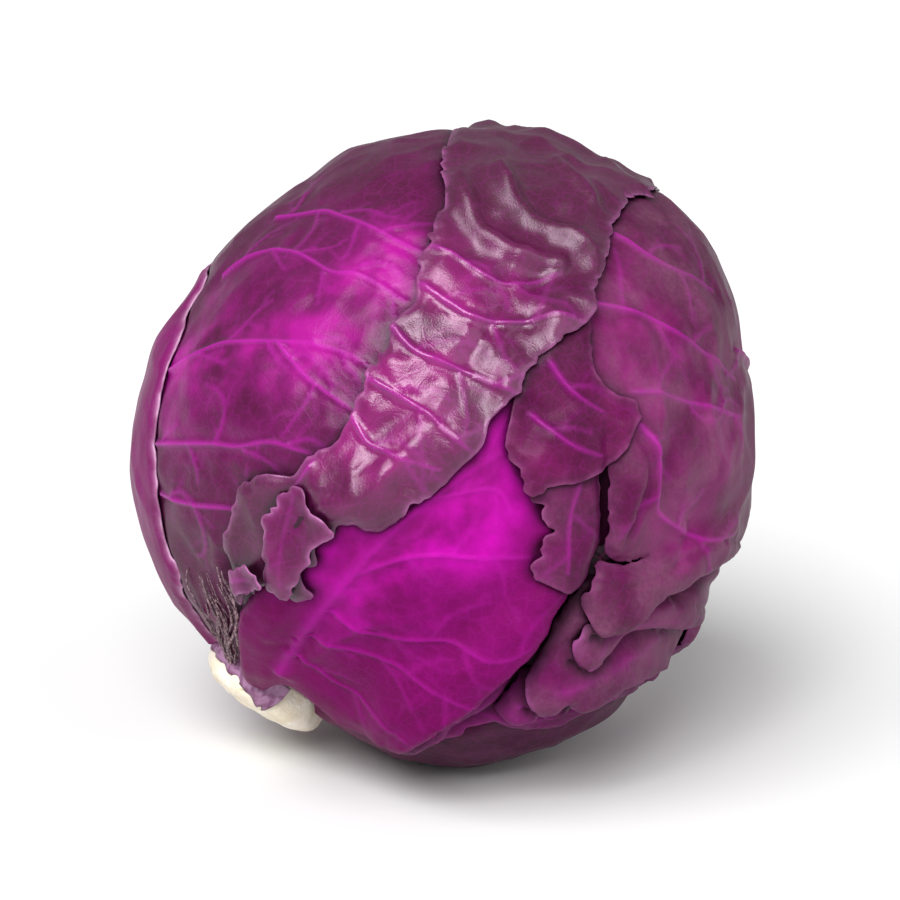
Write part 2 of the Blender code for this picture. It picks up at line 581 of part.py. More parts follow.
def add_stem(finish, collection):
    """The cut stem: a turned stub with a slightly uneven round and a worn, domed cut face."""
    profile = [(0.0, STEM_END), (0.50 * STEM_RADIUS, STEM_END + 0.1 * MM),
               (0.76 * STEM_RADIUS, STEM_END - 0.9 * MM), (0.93 * STEM_RADIUS, STEM_END - 2.7 * MM),
               (STEM_RADIUS, STEM_END - 5.2 * MM),
               (0.98 * STEM_RADIUS, STEM_END - 8.0 * MM), (0.93 * STEM_RADIUS, STEM_SEAT + 0.4 * MM),
               (0.0, STEM_SEAT + 0.4 * MM)]
    mesh = bpy.data.meshes.new("stem_profile")
    mesh.from_pydata([(x, 0, z) for x, z in profile], [(k, k + 1) for k in range(len(profile) - 1)], [])
    turned = bpy.data.objects.new("stem_profile", mesh)
    collection.objects.link(turned)
    screw = turned.modifiers.new("turn", "SCREW")
    screw.steps = screw.render_steps = 26
    screw.use_merge_vertices = True
    screw.merge_threshold = 0.00005
    graph = bpy.context.evaluated_depsgraph_get()
    solid = bpy.data.meshes.new_from_object(turned.evaluated_get(graph))
    bpy.data.objects.remove(turned)
    for vertex in solid.vertices:
        turn = math.atan2(vertex.co.y, vertex.co.x)
        uneven = 1 + 0.030 * math.cos(2 * turn + 0.6) + 0.022 * math.cos(3 * turn + 2.0)
        uneven += 0.012 * math.cos(7 * turn)
        slope = 0.9 * MM * math.cos(turn - 0.8) * max(0.0, vertex.co.z - STEM_END + 3 * MM) / (3 * MM)
        across = math.hypot(vertex.co.x, vertex.co.y) / STEM_RADIUS
        vertex.co = Vector((vertex.co.x * uneven, vertex.co.y * uneven, vertex.co.z + slope * across))
    solid.materials.append(finish)
    solid.shade_smooth()
    made = bpy.data.objects.new("stem", solid)
    made.location = CENTRE
    made.rotation_mode = "QUATERNION"
    made.rotation_quaternion = Vector((0, 0, 1)).rotation_difference(Vector(STEM))
    collection.objects.link(made)
    return made


def main():
    for thing in list(bpy.data.objects):
        bpy.data.objects.remove(thing)
    collection = bpy.data.collections.new("red_cabbage_head")
    bpy.context.scene.collection.children.link(collection)

    for leaf in LEAVES:
        leaf["curve"] = curve_through(leaf["outline"], closed=True)
    directions = leaf_net_directions()
    net = hull_net(directions)
    surface = heart_height(directions)
    top = surface.copy()
    for leaf in LEAVES:
        leaf["blade"] = cut_blade(net, leaf)
        number = leaf["blade"].verts.layers.int["number"]
        used = [vertex[number] for vertex in leaf["blade"].verts]
        surface = lay_leaf(leaf, directions, surface, used)
        top[used] = leaf["outer"][used]

    def to_floor(ways):
        return CENTRE.z / np.maximum(-ways[:, 2], 1e-6)

    purple = material("purple_leaf", (0.17, 0.012, 0.115), 0.38)
    pale = material("pale_heart", (0.20, 0.02, 0.14), 0.45)
    cream = material("cream_stem", (0.80, 0.72, 0.55), 0.6)
    settle = np.maximum(top - to_floor(directions), 0)
    for leaf in LEAVES:
        thicken(leaf["blade"], leaf, directions, settle)
        add_solid(leaf["name"], leaf["blade"], purple, collection)

    def floor_settle(ways):
        nearest = (ways @ directions.T).argsort(1)[:, -3:]
        return settle[nearest].max(1)

    add_heart(floor_settle, pale, collection)
    add_stem(cream, collection)


main()
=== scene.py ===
"""The red cabbage head, dressed: every packed leaf becomes a thin, veined and crinkled blade.

Each blade is a height above the head's centre along a direction, as in the solids it stands for, so a
leaf lies on those under it. The fine shape is added here: branching veins, the pillows between them,
crinkles, ragged and rolled edges, and the materials.
"""

import math
from collections import namedtuple

import bmesh
import bpy
import numpy as np
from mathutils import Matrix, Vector, geometry, kdtree


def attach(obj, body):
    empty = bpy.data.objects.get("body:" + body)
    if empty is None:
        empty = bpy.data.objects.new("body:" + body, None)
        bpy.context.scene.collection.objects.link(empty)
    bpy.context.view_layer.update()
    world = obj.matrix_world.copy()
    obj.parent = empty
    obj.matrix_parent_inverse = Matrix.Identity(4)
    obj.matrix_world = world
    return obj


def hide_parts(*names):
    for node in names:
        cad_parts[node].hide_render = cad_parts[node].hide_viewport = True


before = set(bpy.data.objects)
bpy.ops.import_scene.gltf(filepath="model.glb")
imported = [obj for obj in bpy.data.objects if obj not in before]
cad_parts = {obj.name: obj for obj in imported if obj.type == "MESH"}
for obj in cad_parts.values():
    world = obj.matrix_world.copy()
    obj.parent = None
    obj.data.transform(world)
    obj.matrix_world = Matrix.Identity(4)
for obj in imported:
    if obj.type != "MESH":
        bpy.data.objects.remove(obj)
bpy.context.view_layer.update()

MM = 0.001

# The head, as in the solids
HEAD_RADIUS = 78.0 * MM
CENTRE = np.array((0.65, 1.5, 78.5)) * MM
WRAP_DEPTH = 4.6 * MM
LEAF_THICKNESS = 0.9 * MM
BASE_THICKENING = 1.6 * MM
LEAF_GAP = 0.35 * MM
DRAPE = 7.0 * MM
FULL_RISE = 1.5 * MM
STEM_RADIUS = 16.8 * MM
STEM_END = 81.9 * MM
STEM_SEAT = 70.0 * MM
COLLAR_ANGLE = math.radians(13.9)
DOWN = np.array((0.0, 0.0, -1.0))

# The front view, which the outlines are drawn in: x to the right and y up, in millimetres from the
# head's centre. A third value of BACK puts a point on the far half of the head.
VIEW_ELEVATION = math.radians(16.0)
EYE_DISTANCE = 1.2
BACK = -1
RIGHT = np.array((1.0, 0.0, 0.0))
UP = np.array((0.0, math.sin(VIEW_ELEVATION), math.cos(VIEW_ELEVATION)))
TOWARD = np.array((0.0, -math.cos(VIEW_ELEVATION), math.sin(VIEW_ELEVATION)))
STEM = -0.60 * RIGHT - 0.79 * UP - 0.10 * TOWARD
STEM = STEM / np.linalg.norm(STEM)

# Spacings of the blades' points: along an edge, in the open, and under a later leaf
EDGE_STEP = 0.8 * MM
OPEN_STEP = 1.1 * MM
COVERED_STEP = 2.4 * MM

# Rows of points inside an edge, at these depths, so that its lip is round
LIP_ROWS = (0.55 * MM, 1.25 * MM)

# Points on the ring round the stem where the blades end
COLLAR_POINTS = 120

# The unevenness of a ragged edge, as (wavelength, size) in millimetres
RAGGED_WAVES = ((14, 0.8), (7, 0.5), (4, 0.35), (2.6, 0.22))

# The head's outline in the front view, as (degrees from the right, reach in millimetres), and how many
# degrees each value is blended over
OUTLINE = (
    (0, 79.8), (17, 79.4), (28, 84.0), (45, 85.4), (59, 81.6), (72, 83.0), (84, 80.2), (98, 80.6),
    (108, 79.6), (120, 76.2), (136, 76.6), (149, 75.2), (162, 78.4), (176, 79.8), (192, 80.6),
    (206, 79.4), (220, 76.4), (234, 75.0), (248, 76.4), (260, 81.6), (270, 83.6), (286, 82.6),
    (299, 82.0), (312, 77.4), (325, 74.2), (338, 74.4), (350, 79.8),
)
OUTLINE_BLEND = 8.0

# Deep creases that leaves turn down into, as (points, depth, width)
CREASES = (
    ([(41, 0), (41.4, -12), (41.2, -24), (38.8, -32.5), (34.5, -39.8), (30, -47.2), (25.2, -53.8),
      (19, -60.2), (12.5, -66.6), (4, -71.8)], 4.4, 3.8),
    ([(-57, -30), (-55.5, -40), (-54.5, -48), (-50.5, -56), (-46.5, -61)], 2.4, 2.8),
    ([(36.4, -48.4), (40.2, -49.4), (43.6, -48.4), (47.4, -45.6), (51.4, -42.2), (56, -39.9),
      (60.4, -37.4), (65.4, -33.2), (71.4, -28)], 1.9, 1.3),
    ([(58.5, -39.4), (64, -35), (71, -29.4)], 2.6, 1.7),
    ([(31, -55.4), (33.4, -57), (37.4, -56.9), (43.4, -53.7), (49.4, -50.7), (55.4, -48.3),
      (62.6, -46.2)], 2.0, 1.3),
    ([(19.4, -66.2), (24.5, -67.2), (29.5, -65.6), (32.6, -66.6), (38, -64.8), (46, -61),
      (53.5, -57.4)], 1.9, 1.4),
)

# The hollow that the thick folds at the lower right lie in
HOLLOW_CENTRE = (50, -44)
HOLLOW_DEPTH = 5.0 * MM
HOLLOW_WIDTH = 22.0 * MM

# A swollen leaf stands up within this width of its rolled edge, and lies flat again past the fade
SWELL_WIDTH = 5.0 * MM
SWELL_FADE = (7.0 * MM, 18.0 * MM)


def smoothstep(low, high, value):
    share = np.clip((value - low) / (high - low), 0, 1)
    return share * share * (3 - 2 * share)


def unit(vectors):
    return vectors / np.linalg.norm(vectors, axis=-1, keepdims=True)


def head_radius(directions):
    """The rough outer radius of the whole head: the front view's outline, and rounder towards the eye."""
    right, up, toward = directions @ RIGHT, directions @ UP, directions @ TOWARD
    angle = np.degrees(np.arctan2(up, right))
    total, weights = 0.0, 0.0
    for degrees, reach in OUTLINE:
        apart = (angle - degrees + 180) % 360 - 180
        weight = np.exp(-((apart / OUTLINE_BLEND) ** 2))
        total, weights = total + weight * reach * MM, weights + weight
    side = 1 - toward**2
    return HEAD_RADIUS + (total / weights - HEAD_RADIUS) * side**1.5


def back(*points):
    """Front-view points on the far half of the head."""
    return [(*point, BACK) for point in points]


def on_head(point):
    """The direction of a front-view point, found where the sight line meets the head."""
    x, y = point[0] * MM, point[1] * MM
    side = point[2] if len(point) > 2 else 1
    direction = unit(x * RIGHT + y * UP + 0.05 * TOWARD * side)
    for _ in range(8):
        radius = head_radius(direction[None])[0]
        depth = max(0.0, float(direction @ TOWARD)) * radius
        shrink = 1 - depth / EYE_DISTANCE
        across, above = x * shrink, y * shrink
        flat = math.hypot(across, above)
        limit = 0.9995 * radius
        if flat > limit:
            across, above = across * limit / flat, above * limit / flat
            flat = limit
        depth = math.sqrt(radius**2 - flat**2) * side
        direction = unit(across * RIGHT + above * UP + depth * TOWARD)
    return direction


def curve_through(points, closed, step=1.0 * MM):
    """Directions about a step apart on a smooth curve through front-view points."""
    knots = np.array([on_head(point) for point in points])
    count = len(knots)
    found = []
    for span in range(count if closed else count - 1):
        if closed:
            before, start, end, after = (knots[(span + k) % count] for k in (-1, 0, 1, 2))
        else:
            before, start, end, after = (knots[min(max(span + k, 0), count - 1)] for k in (-1, 0, 1, 2))
        steps = max(2, round(np.linalg.norm(end - start) * HEAD_RADIUS / step))
        t = np.arange(steps)[:, None] / steps
        found.append(
            0.5 * (2 * start + (end - before) * t + (2 * before - 5 * start + 4 * end - after) * t**2
                   + (3 * start - before - 3 * end + after) * t**3)
        )
    if not closed:
        found.append(knots[-1:])
    return unit(np.concatenate(found))


def distance_to(directions, curve):
    """How far each direction lies from the nearest point of a curve, on the head's surface."""
    nearest = np.full(len(directions), 4.0)
    for part in np.array_split(curve, max(1, len(curve) // 128)):
        nearest = np.minimum(nearest, 2 - 2 * (directions @ part.T).max(1))
    return np.sqrt(np.maximum(nearest, 0)) * HEAD_RADIUS


def distance_to_line(directions, points):
    """How far each direction lies from an open line through front-view points."""
    return distance_to(directions, curve_through(points, closed=False))


def from_stem(directions):
    """How far each direction lies from the middle of the stem, along the head's surface."""
    return np.arccos(np.clip(directions @ STEM, -1, 1)) * HEAD_RADIUS


def chart_axes(middle):
    """Two directions square to a middle direction and to each other."""
    across = unit(np.cross(middle, (0.31, 0.87, 0.38)))
    return across, np.cross(middle, across)


def to_chart(middle, directions):
    """Flat positions in a chart round a middle direction that keeps distances from the middle, in radians."""
    across, along = chart_axes(middle)
    angle = np.arccos(np.clip(directions @ middle, -1, 1))
    flat = np.stack((directions @ across, directions @ along), 1)
    return flat * (angle / np.maximum(np.linalg.norm(flat, axis=1), 1e-9))[:, None]


def from_chart(middle, flat):
    """The directions at flat positions in the chart round a middle direction."""
    across, along = chart_axes(middle)
    angle = np.linalg.norm(flat, axis=1)
    share = (np.sin(angle) / np.maximum(angle, 1e-9))[:, None]
    return unit(np.cos(angle)[:, None] * middle + share * (flat[:, :1] * across + flat[:, 1:] * along))


def inside_of(directions, curve):
    """True inside a closed curve, in the chart round the curve's middle."""
    middle = unit(curve.mean(0))
    spot, corner = to_chart(middle, directions), to_chart(middle, curve)
    inside = np.zeros(len(directions), bool)
    for (ax, ay), (bx, by) in zip(corner, np.roll(corner, -1, axis=0)):
        crosses = (ay > spot[:, 1]) != (by > spot[:, 1])
        slope = (bx - ax) / (by - ay) if by != ay else 0.0
        inside ^= crosses & (spot[:, 0] < ax + slope * (spot[:, 1] - ay))
    return inside


def signed_distance(directions, curve):
    """Positive inside a closed curve and negative outside it."""
    distance = distance_to(directions, curve)
    return np.where(inside_of(directions, curve), distance, -distance)


def ripple(directions, seed, wavelength):
    """A smooth, seeded unevenness from 0 to 1 over the head."""
    draw = np.random.default_rng(seed)
    waves = 14
    ways = unit(draw.normal(size=(waves, 3))) * draw.uniform(0.7, 1.4, (waves, 1))
    phases = draw.uniform(0, 2 * math.pi, waves)
    total = np.sin(directions @ ways.T * (2 * math.pi * HEAD_RADIUS / wavelength) + phases).sum(1)
    return np.clip(0.5 + total / (2.6 * math.sqrt(waves)), 0, 1)


def crumple(directions, seed, wavelength):
    """A seeded unevenness from 0 to 1 with sharp crests, as crumpled leaf has."""
    return 1 - 2 * np.abs(ripple(directions, seed, wavelength) - 0.5)


def ridges(directions, lines):
    """The height of raised lines: each line is (points, height, width)."""
    height = np.zeros(len(directions))
    for points, rise, width in lines:
        height += rise * MM * np.exp(-((distance_to_line(directions, points) / (width * MM)) ** 2))
    return height


# Each leaf, from the innermost to the outermost. outline: the leaf's edge. ribs: its midrib and main
# side veins as (points, height, width). creases: folds of the whole blade, also (points, height, width).
# lift: how far the edge stands off. puff: how much the blade bulges off what is under it. swell: how
# much a fold low on the head stands up inside its rolled edge.
LEAVES = [
    {
        "name": "leaf_back",
        "outline": back(
            (-34, -58), (-36, -40), (-30, -16), (-27, 14), (-24, 44), (-10, 64), (14, 74), (36, 70),
            (46, 56), (44, 30), (36, 4), (22, -20), (0, -40), (-22, -54),
        ),
        "ribs": [
            (back((-30, -54), (-16, -32), (-4, -8), (4, 16), (8, 40)), 2.4, 3.6),
            (back((-4, -8), (10, 6), (22, 16)), 1.0, 1.8),
            (back((-10, -20), (-16, -6), (-18, 8)), 1.0, 1.8),
        ],
        "creases": [],
        "lift": 0.4, "puff": 1.4, "swell": 0.0,
    },
    {
        "name": "leaf_under",
        "outline": [
            *back((-38, -66)), (-28, -71), (-18, -69), (-8, -62), (6, -54), (16, -47), (28, -40),
            (42, -36), (60, -34), *back((66, -34), (48, -42), (22, -54), (-4, -62), (-32, -64)),
        ],
        "ribs": [
            (back((-30, -67), (-8, -71), (14, -71), (32, -66)), 1.4, 3.0),
        ],
        "creases": [],
        "lift": 0.3, "puff": 0.6, "swell": 0.0,
    },
    {
        "name": "edge_lowest",
        "outline": [
            (-9, -76.5), (0, -75.2), (6, -73.6), (12, -71.6), (15, -72.6), (18.5, -73.2), (26, -72.6),
            (34, -70), (42, -66.5), (50, -60.5), (40, -60), (28, -64), (16, -66), (6, -68), (-4, -71),
        ],
        "ribs": [
            ([(-4, -74), (10, -70.5), (28, -69), (42, -64)], 0.5, 1.2),
        ],
        "creases": [],
        "lift": 0.5, "puff": 0.3, "swell": 0.8,
    },
    {
        "name": "edge_low",
        "outline": [
            (19.5, -61.5), (15, -65.6), (12.4, -68.2), (15, -69.6), (19.8, -69.2), (23, -68.2),
            (26, -68.6), (32, -67), (38.5, -65.6), (46, -62), (52, -57), (40, -54), (28, -58),
        ],
        "ribs": [
            ([(18, -66), (28, -64.5), (40, -61)], 0.5, 1.2),
        ],
        "creases": [],
        "lift": 0.7, "puff": 0.3, "swell": 1.4,
    },
    {
        "name": "edge_front",
        "outline": [
            (24.2, -52.6), (20.6, -57.6), (16.2, -62.4), (11, -67), (4, -71.3), (-4, -74.7), (-12, -77.4),
            (-14, -72), (0, -62), (12, -54), (20, -48),
        ],
        "ribs": [
            ([(18, -54), (8, -62), (-4, -69)], 0.5, 1.2),
        ],
        "creases": [],
        "lift": 0.5, "puff": 0.3, "swell": 1.0,
    },
    {
        "name": "leaf_left",
        "outline": [
            (-47, -60), (-47, -47), (-43, -37), (-33, -23), (-20, -10), (-7, 6), (1, 24), (8, 42),
            (12, 58), (12, 74), *back((2, 72), (-16, 62), (-34, 50), (-50, 32), (-60, 10), (-64, -14),
            (-60, -40)),
        ],
        "ribs": [
            ([(-74, 17), (-64.7, 23), (-57.5, 26), (-45.5, 26.8), (-36, 26), (-27, 23.8),
              (-20, 20)], 1.3, 1.8),
            ([(-44, 26.5), (-38, 19), (-32.7, 14.5), (-24, 8.5)], 0.9, 1.6),
            ([(-76, 0), (-61.8, 0), (-54.5, -0.7), (-45.5, 0.5), (-39, -1.3), (-33, -3.5)], 1.3, 1.8),
            ([(-74, -13), (-64.8, -15.8), (-56, -17), (-48, -20)], 1.0, 1.6),
            ([(-58, 44), (-48, 50), (-39, 49.6), (-30, 45), (-23.6, 44), (-17.5, 41),
              (-11, 37)], 1.2, 1.8),
            ([(-44, 59), (-33, 60.5), (-27, 59), (-18.7, 55.6), (-12.7, 52.6), (-5, 49)], 1.1, 1.8),
        ],
        "creases": [],
        "lift": 0.3, "puff": 1.0, "swell": 0.0,
    },
    {
        "name": "leaf_front",
        "outline": [
            (-47, -60), (-53, -51), (-53, -44), (-49.5, -38), (-44, -30), (-36, -19), (-24, -9), (-11, 0),
            (1, 9), (10, 18), (18, 28), (28, 36), (42, 36), (50, 24), (53, 6), (50, -10), (46, -24),
            (39.5, -31), (35.5, -36.5), (30.8, -42), (26.5, -48.5), (22, -53.5), (16.5, -58),
            (9.5, -63.5), (1, -68), (-5, -72), (-13, -75), (-22, -73), (-30.5, -68.5), (-35, -65),
            (-40.5, -61.6),
        ],
        "ribs": [
            ([(-42, -57), (-39, -52), (-33, -44), (-22, -31), (-10, -19), (2, -10), (13, -3)], 2.6, 4.4),
            ([(-24, -34), (-12, -30), (-3, -29), (6, -30), (12.5, -29.8), (24, -29.5)], 1.2, 1.8),
            ([(-3, -14), (12.5, -12), (16.8, -18)], 0.9, 1.7),
            ([(-32, -43), (-24, -48), (-12, -51), (0, -51), (12, -53), (20, -50)], 1.2, 1.8),
            ([(-36, -50), (-21, -55), (-12, -58), (-3, -61), (6, -64)], 1.0, 1.8),
            ([(-39, -54), (-29, -62), (-21, -66), (-10, -71)], 0.9, 1.8),
        ],
        "creases": [
            ([(-44, -49), (-36, -37), (-27, -26), (-18, -17)], 0.8, 1.8),
            ([(-40, -58.5), (-30, -51.5), (-18, -46.5)], 1.0, 2.2),
            ([(-37.5, -53), (-25, -40), (-10, -32)], -0.8, 2.0),
        ],
        "lift": 0.2, "puff": 0.8, "swell": 2.0,
    },
    {
        "name": "flap_lower",
        "outline": [
            (30, 2), (24, -6), (22.4, -14), (24.6, -20), (27.6, -22.5), (24.2, -25.5), (22.6, -29),
            (21.9, -33.4), (25.8, -35.4), (30.7, -37.3), (35, -36.2), (38.4, -32.4), (40.6, -27),
            (40.3, -18), (40, -8), (40, 4),
        ],
        "ribs": [
            ([(34, -8), (31, -20), (30, -32)], 0.8, 1.6),
        ],
        "creases": [],
        "lift": 0.6, "puff": 0.8, "swell": 0.6,
    },
    {
        "name": "fold_low",
        "outline": [
            (36.8, -36.2), (33.3, -41.3), (30, -47), (26.6, -52), (22.6, -57), (20.2, -60.8), (19.6, -63),
            (21, -65.2), (24.5, -65.6), (27.5, -64.8), (29.5, -63.8), (31, -65.3), (34.4, -64.9),
            (42.8, -61), (48.8, -58.4), (54, -56), *back((50, -60), (34, -64), (28, -54), (48, -46)),
            (64, -42), (54, -38), (44, -36),
        ],
        "ribs": [
            ([(27, -60.5), (37, -58), (48, -53.5), (56, -49)], 0.5, 2.2),
        ],
        "creases": [
            ([(28, -54.5), (34, -50), (40, -47)], -0.9, 1.2),
        ],
        "lift": 0.15, "puff": 0.2, "swell": 2.1,
    },
    {
        "name": "fold_middle",
        "outline": [
            (38, -44), (34.6, -47), (32.6, -50.5), (31.8, -53), (33.2, -55.4), (37, -55.4), (43, -52.2),
            (49, -49.3), (55, -47), (62, -45), *back((58, -49), (44, -55), (38, -44), (56, -28)),
            (70, -24), (54, -33), (44, -37),
        ],
        "ribs": [
            ([(38, -51.5), (47, -47.4), (57, -43.6)], 0.5, 2.2),
        ],
        "creases": [],
        "lift": 0.15, "puff": 0.2, "swell": 2.1,
    },
    {
        "name": "leaf_right",
        "outline": [
            (46, 72), (37, 62), (33, 52), (29, 42), (27, 32), (31, 20), (37, 9), (40.6, 2), (41.6, -8),
            (41.9, -19), (42, -27.6), (43.4, -30.4), (47, -31.0), (52, -30.2), (47, -31.5), (43, -31.7),
            (40.2, -31.2), (37, -36.4), (35, -41.3), (36.2, -45.8), (39.6, -47.8), (43, -47),
            (46.5, -44.8), (50.5, -40.9), (55, -38.7), (59, -36.6), (64, -32.6), (70, -27.6),
            *back((63, -31), (49, -45), (32, -58), (10, -68), (-26, -66), (-38, -58), (-20, -46),
            (6, -30), (22, -8), (30, 24), (38, 50)),
        ],
        "ribs": [
            ([*back((-26, -61), (8, -52), (38, -34), (60, -8), (72, 12)), (75, 24)], 2.8, 3.8),
            ([(42.7, 54.5), (51.3, 49.6), (59.8, 44.8), (68.8, 39.9)], 1.2, 1.9),
            ([(36, 36), (42.7, 35), (51.9, 32.6), (57.9, 29.6), (67, 23.5), (75, 17)], 1.2, 1.9),
            ([(47.6, 13), (54.9, 13), (63, 11), (76, 7)], 1.0, 1.8),
            (back((38, -34), (42, -10), (42, 14)), 1.0, 1.9),
            (back((60, -8), (56, 16), (52, 40)), 1.0, 1.9),
            ([(46.2, 5), (50.7, -0.9), (52.9, -8.5), (53.6, -17), (58.5, -21.2), (65.5, -24.2),
              (72, -22)], 0.7, 1.7),
        ],
        "creases": [
            ([(47.5, 2), (50, -4), (50.8, -11), (48.5, -18), (46.2, -24), (45.8, -28)], -1.6, 1.6),
            ([(46.4, 6), (51.3, -1.3), (52.5, -9.2), (54, -17), (61, -22)], 2.4, 2.6),
            ([(47.5, -31.6), (56.7, -28.2), (66.4, -24.9), (73, -20)], 1.0, 2.4),
        ],
        "lift": 0.2, "puff": 0.8, "swell": 2.2,
    },
    {
        "name": "flap_centre",
        "outline": [
            (28, 30), (21, 22), (18, 14), (16, 6), (15.2, -0.7), (17.3, -6.2), (19.8, -11), (22, -12.8),
            (25.8, -11), (30, -10.4), (35.5, -8.5), (41, -5.5), (43.6, -1), (45.8, 4.8), (47.6, 10.3),
            (42.8, 12.4), (38.4, 16.3), (36, 21), (36, 27), (34, 34),
        ],
        "ribs": [
            ([(26, 20), (31, 13), (38, 8)], 1.0, 1.8),
            ([(22, 7), (30, 0), (38, -3)], 0.8, 1.7),
        ],
        "creases": [],
        "lift": 0.9, "puff": 1.4, "swell": 0.0,
    },
    {
        "name": "leaf_far_left",
        "outline": [
            (-48, -62), (-59, -49.5), (-66.6, -40), (-69, -32.8), (-72.2, -25.5), (-74.2, -15), (-75, -6),
            (-75, 2), (-73.4, 12), (-71.4, 20.6), (-68.9, 28.4), (-66, 35.4), (-61.8, 42.8),
            *back((-57, 48.6), (-50, 54), (-40, 61), (-20, 71), (-6, 74), (-4, 66), (-14, 45), (-17, 20),
            (-20, -8), (-28, -34), (-34, -52)),
        ],
        "ribs": [
            (back((-44, -56), (-50, -34), (-50, -6), (-44, 22), (-30, 46)), 2.8, 3.8),
            (back((-50, -10), (-62, 4), (-70, 16)), 1.1, 1.9),
            (back((-50, -32), (-64, -22), (-74, -10)), 1.1, 1.9),
            (back((-50, -12), (-36, -2), (-24, 2)), 1.1, 1.9),
            (back((-45, 18), (-34, 24), (-22, 26)), 1.1, 1.9),
            (back((-42, 28), (-50, 40), (-54, 48)), 1.1, 1.9),
        ],
        "creases": [],
        "lift": 0.1, "puff": 0.4, "swell": 0.0,
    },
    {
        "name": "leaf_top",
        "outline": [
            (-34.5, -3), (-29.6, -0.7), (-26, 4.1), (-23.6, 8.4), (-21.8, 13.8), (-20.5, 18),
            (-17.5, 20.8), (-15, 23.5), (-14.5, 29), (-12, 32), (-8, 36), (-7.8, 41), (-6.6, 44.7),
            (-5, 52), (-3.6, 54.6), (-0.8, 60.5), (-0.5, 66.5), (-1, 73), *back((10, 70), (24, 58),
            (40, 54), (50, 60)), (52, 64.5), (48.8, 63.5), (45.2, 61), (43.7, 57.5), (41.6, 54.4),
            (41.3, 47.8), (39.2, 43.5), (36.7, 38), (35.5, 32), (33, 28.7), (28.2, 25.6), (24, 22.9),
            (21, 18.7), (18.8, 14.4), (15, 10.2), (10.7, 5.3), (8.8, -0.7), (4, -5.6), (-1.5, -11),
            (-9.6, -17), (-15, -21.3), (-18, -22.5), (-21, -21.9), (-23, -20), (-27.2, -20.4), (-28, -23),
            (-32, -25.5), (-32, -29.8), (-35.7, -31), (-33.9, -38.6), (-37, -38.8), (-40, -36.4),
            (-43.6, -34.3), (-48.5, -36), (-52, -40), (-55, -34), (-56.5, -25), (-54.5, -17),
            (-52.7, -11), (-50.3, -9), (-45.4, -7.6), (-39.4, -8.2), (-37, -5.5),
        ],
        "ribs": [
            ([(-13.3, 29), (-8, 23.5), (-0.8, 20.5), (5.8, 17.8), (11.9, 15), (17, 12.5)], 1.4, 1.8),
            ([(-6, 40), (0.4, 35.6), (7, 32), (16.7, 31), (27.6, 31.4), (34, 29)], 1.4, 1.8),
            ([(-5, 50), (4, 46.5), (8.8, 43), (15, 41), (22, 41.7), (27, 43)], 1.2, 1.8),
            ([(-20.5, 17), (-15, 13.8), (-9, 10.2), (-4.2, 7.2), (0, 3), (6, -2)], 1.2, 1.8),
            ([(-24, 7), (-20, 0.5), (-15, -1.9), (-9, -4.3), (-2, -6.5)], 1.1, 1.7),
            ([(-34, -5), (-40, -14), (-42, -22), (-40, -34)], 1.0, 1.7),
        ],
        "creases": [
            ([(2.8, 66), (5.8, 58), (8.8, 53.8), (13.7, 50.5), (18.5, 48.4), (28.2, 46)], 2.4, 2.6),
            ([(13, 68), (16.7, 62), (21.6, 57.5), (27, 55), (34, 50)], 2.4, 2.6),
            ([(28, 72), (31.9, 66.5), (36, 61)], 2.0, 2.4),
        ],
        "lift": 0.9, "puff": 1.6, "swell": 0.0,
    },
    {
        "name": "scrap_middle",
        "outline": [
            (-37.5, -11), (-41.5, -12.6), (-44.9, -16.7), (-44.4, -22.3), (-44.4, -30.8), (-41.2, -35.6),
            (-37.4, -37.4), (-35, -30.8), (-32.6, -29), (-32.6, -26.1), (-28.9, -23.3), (-27.4, -21.4),
            (-29.8, -18.1), (-33.5, -16.2), (-35, -12.5),
        ],
        "ribs": [
            ([(-38, -13), (-40, -24), (-39, -34)], 0.4, 1.4),
        ],
        "creases": [],
        "lift": 0.8, "puff": 0.5, "swell": 0.0,
    },
    {
        "name": "scrap_low",
        "outline": [
            (-54.4, -31.8), (-50.6, -30.0), (-46.8, -30.6), (-43.2, -33.6), (-46.8, -35.6),
            (-50.6, -36.2), (-53.6, -35),
        ],
        "ribs": [
            ([(-53, -33.5), (-49, -33), (-45.5, -33.4)], 0.4, 1.4),
        ],
        "creases": [],
        "lift": 1.0, "puff": 0.3, "swell": 0.0,
    },
]


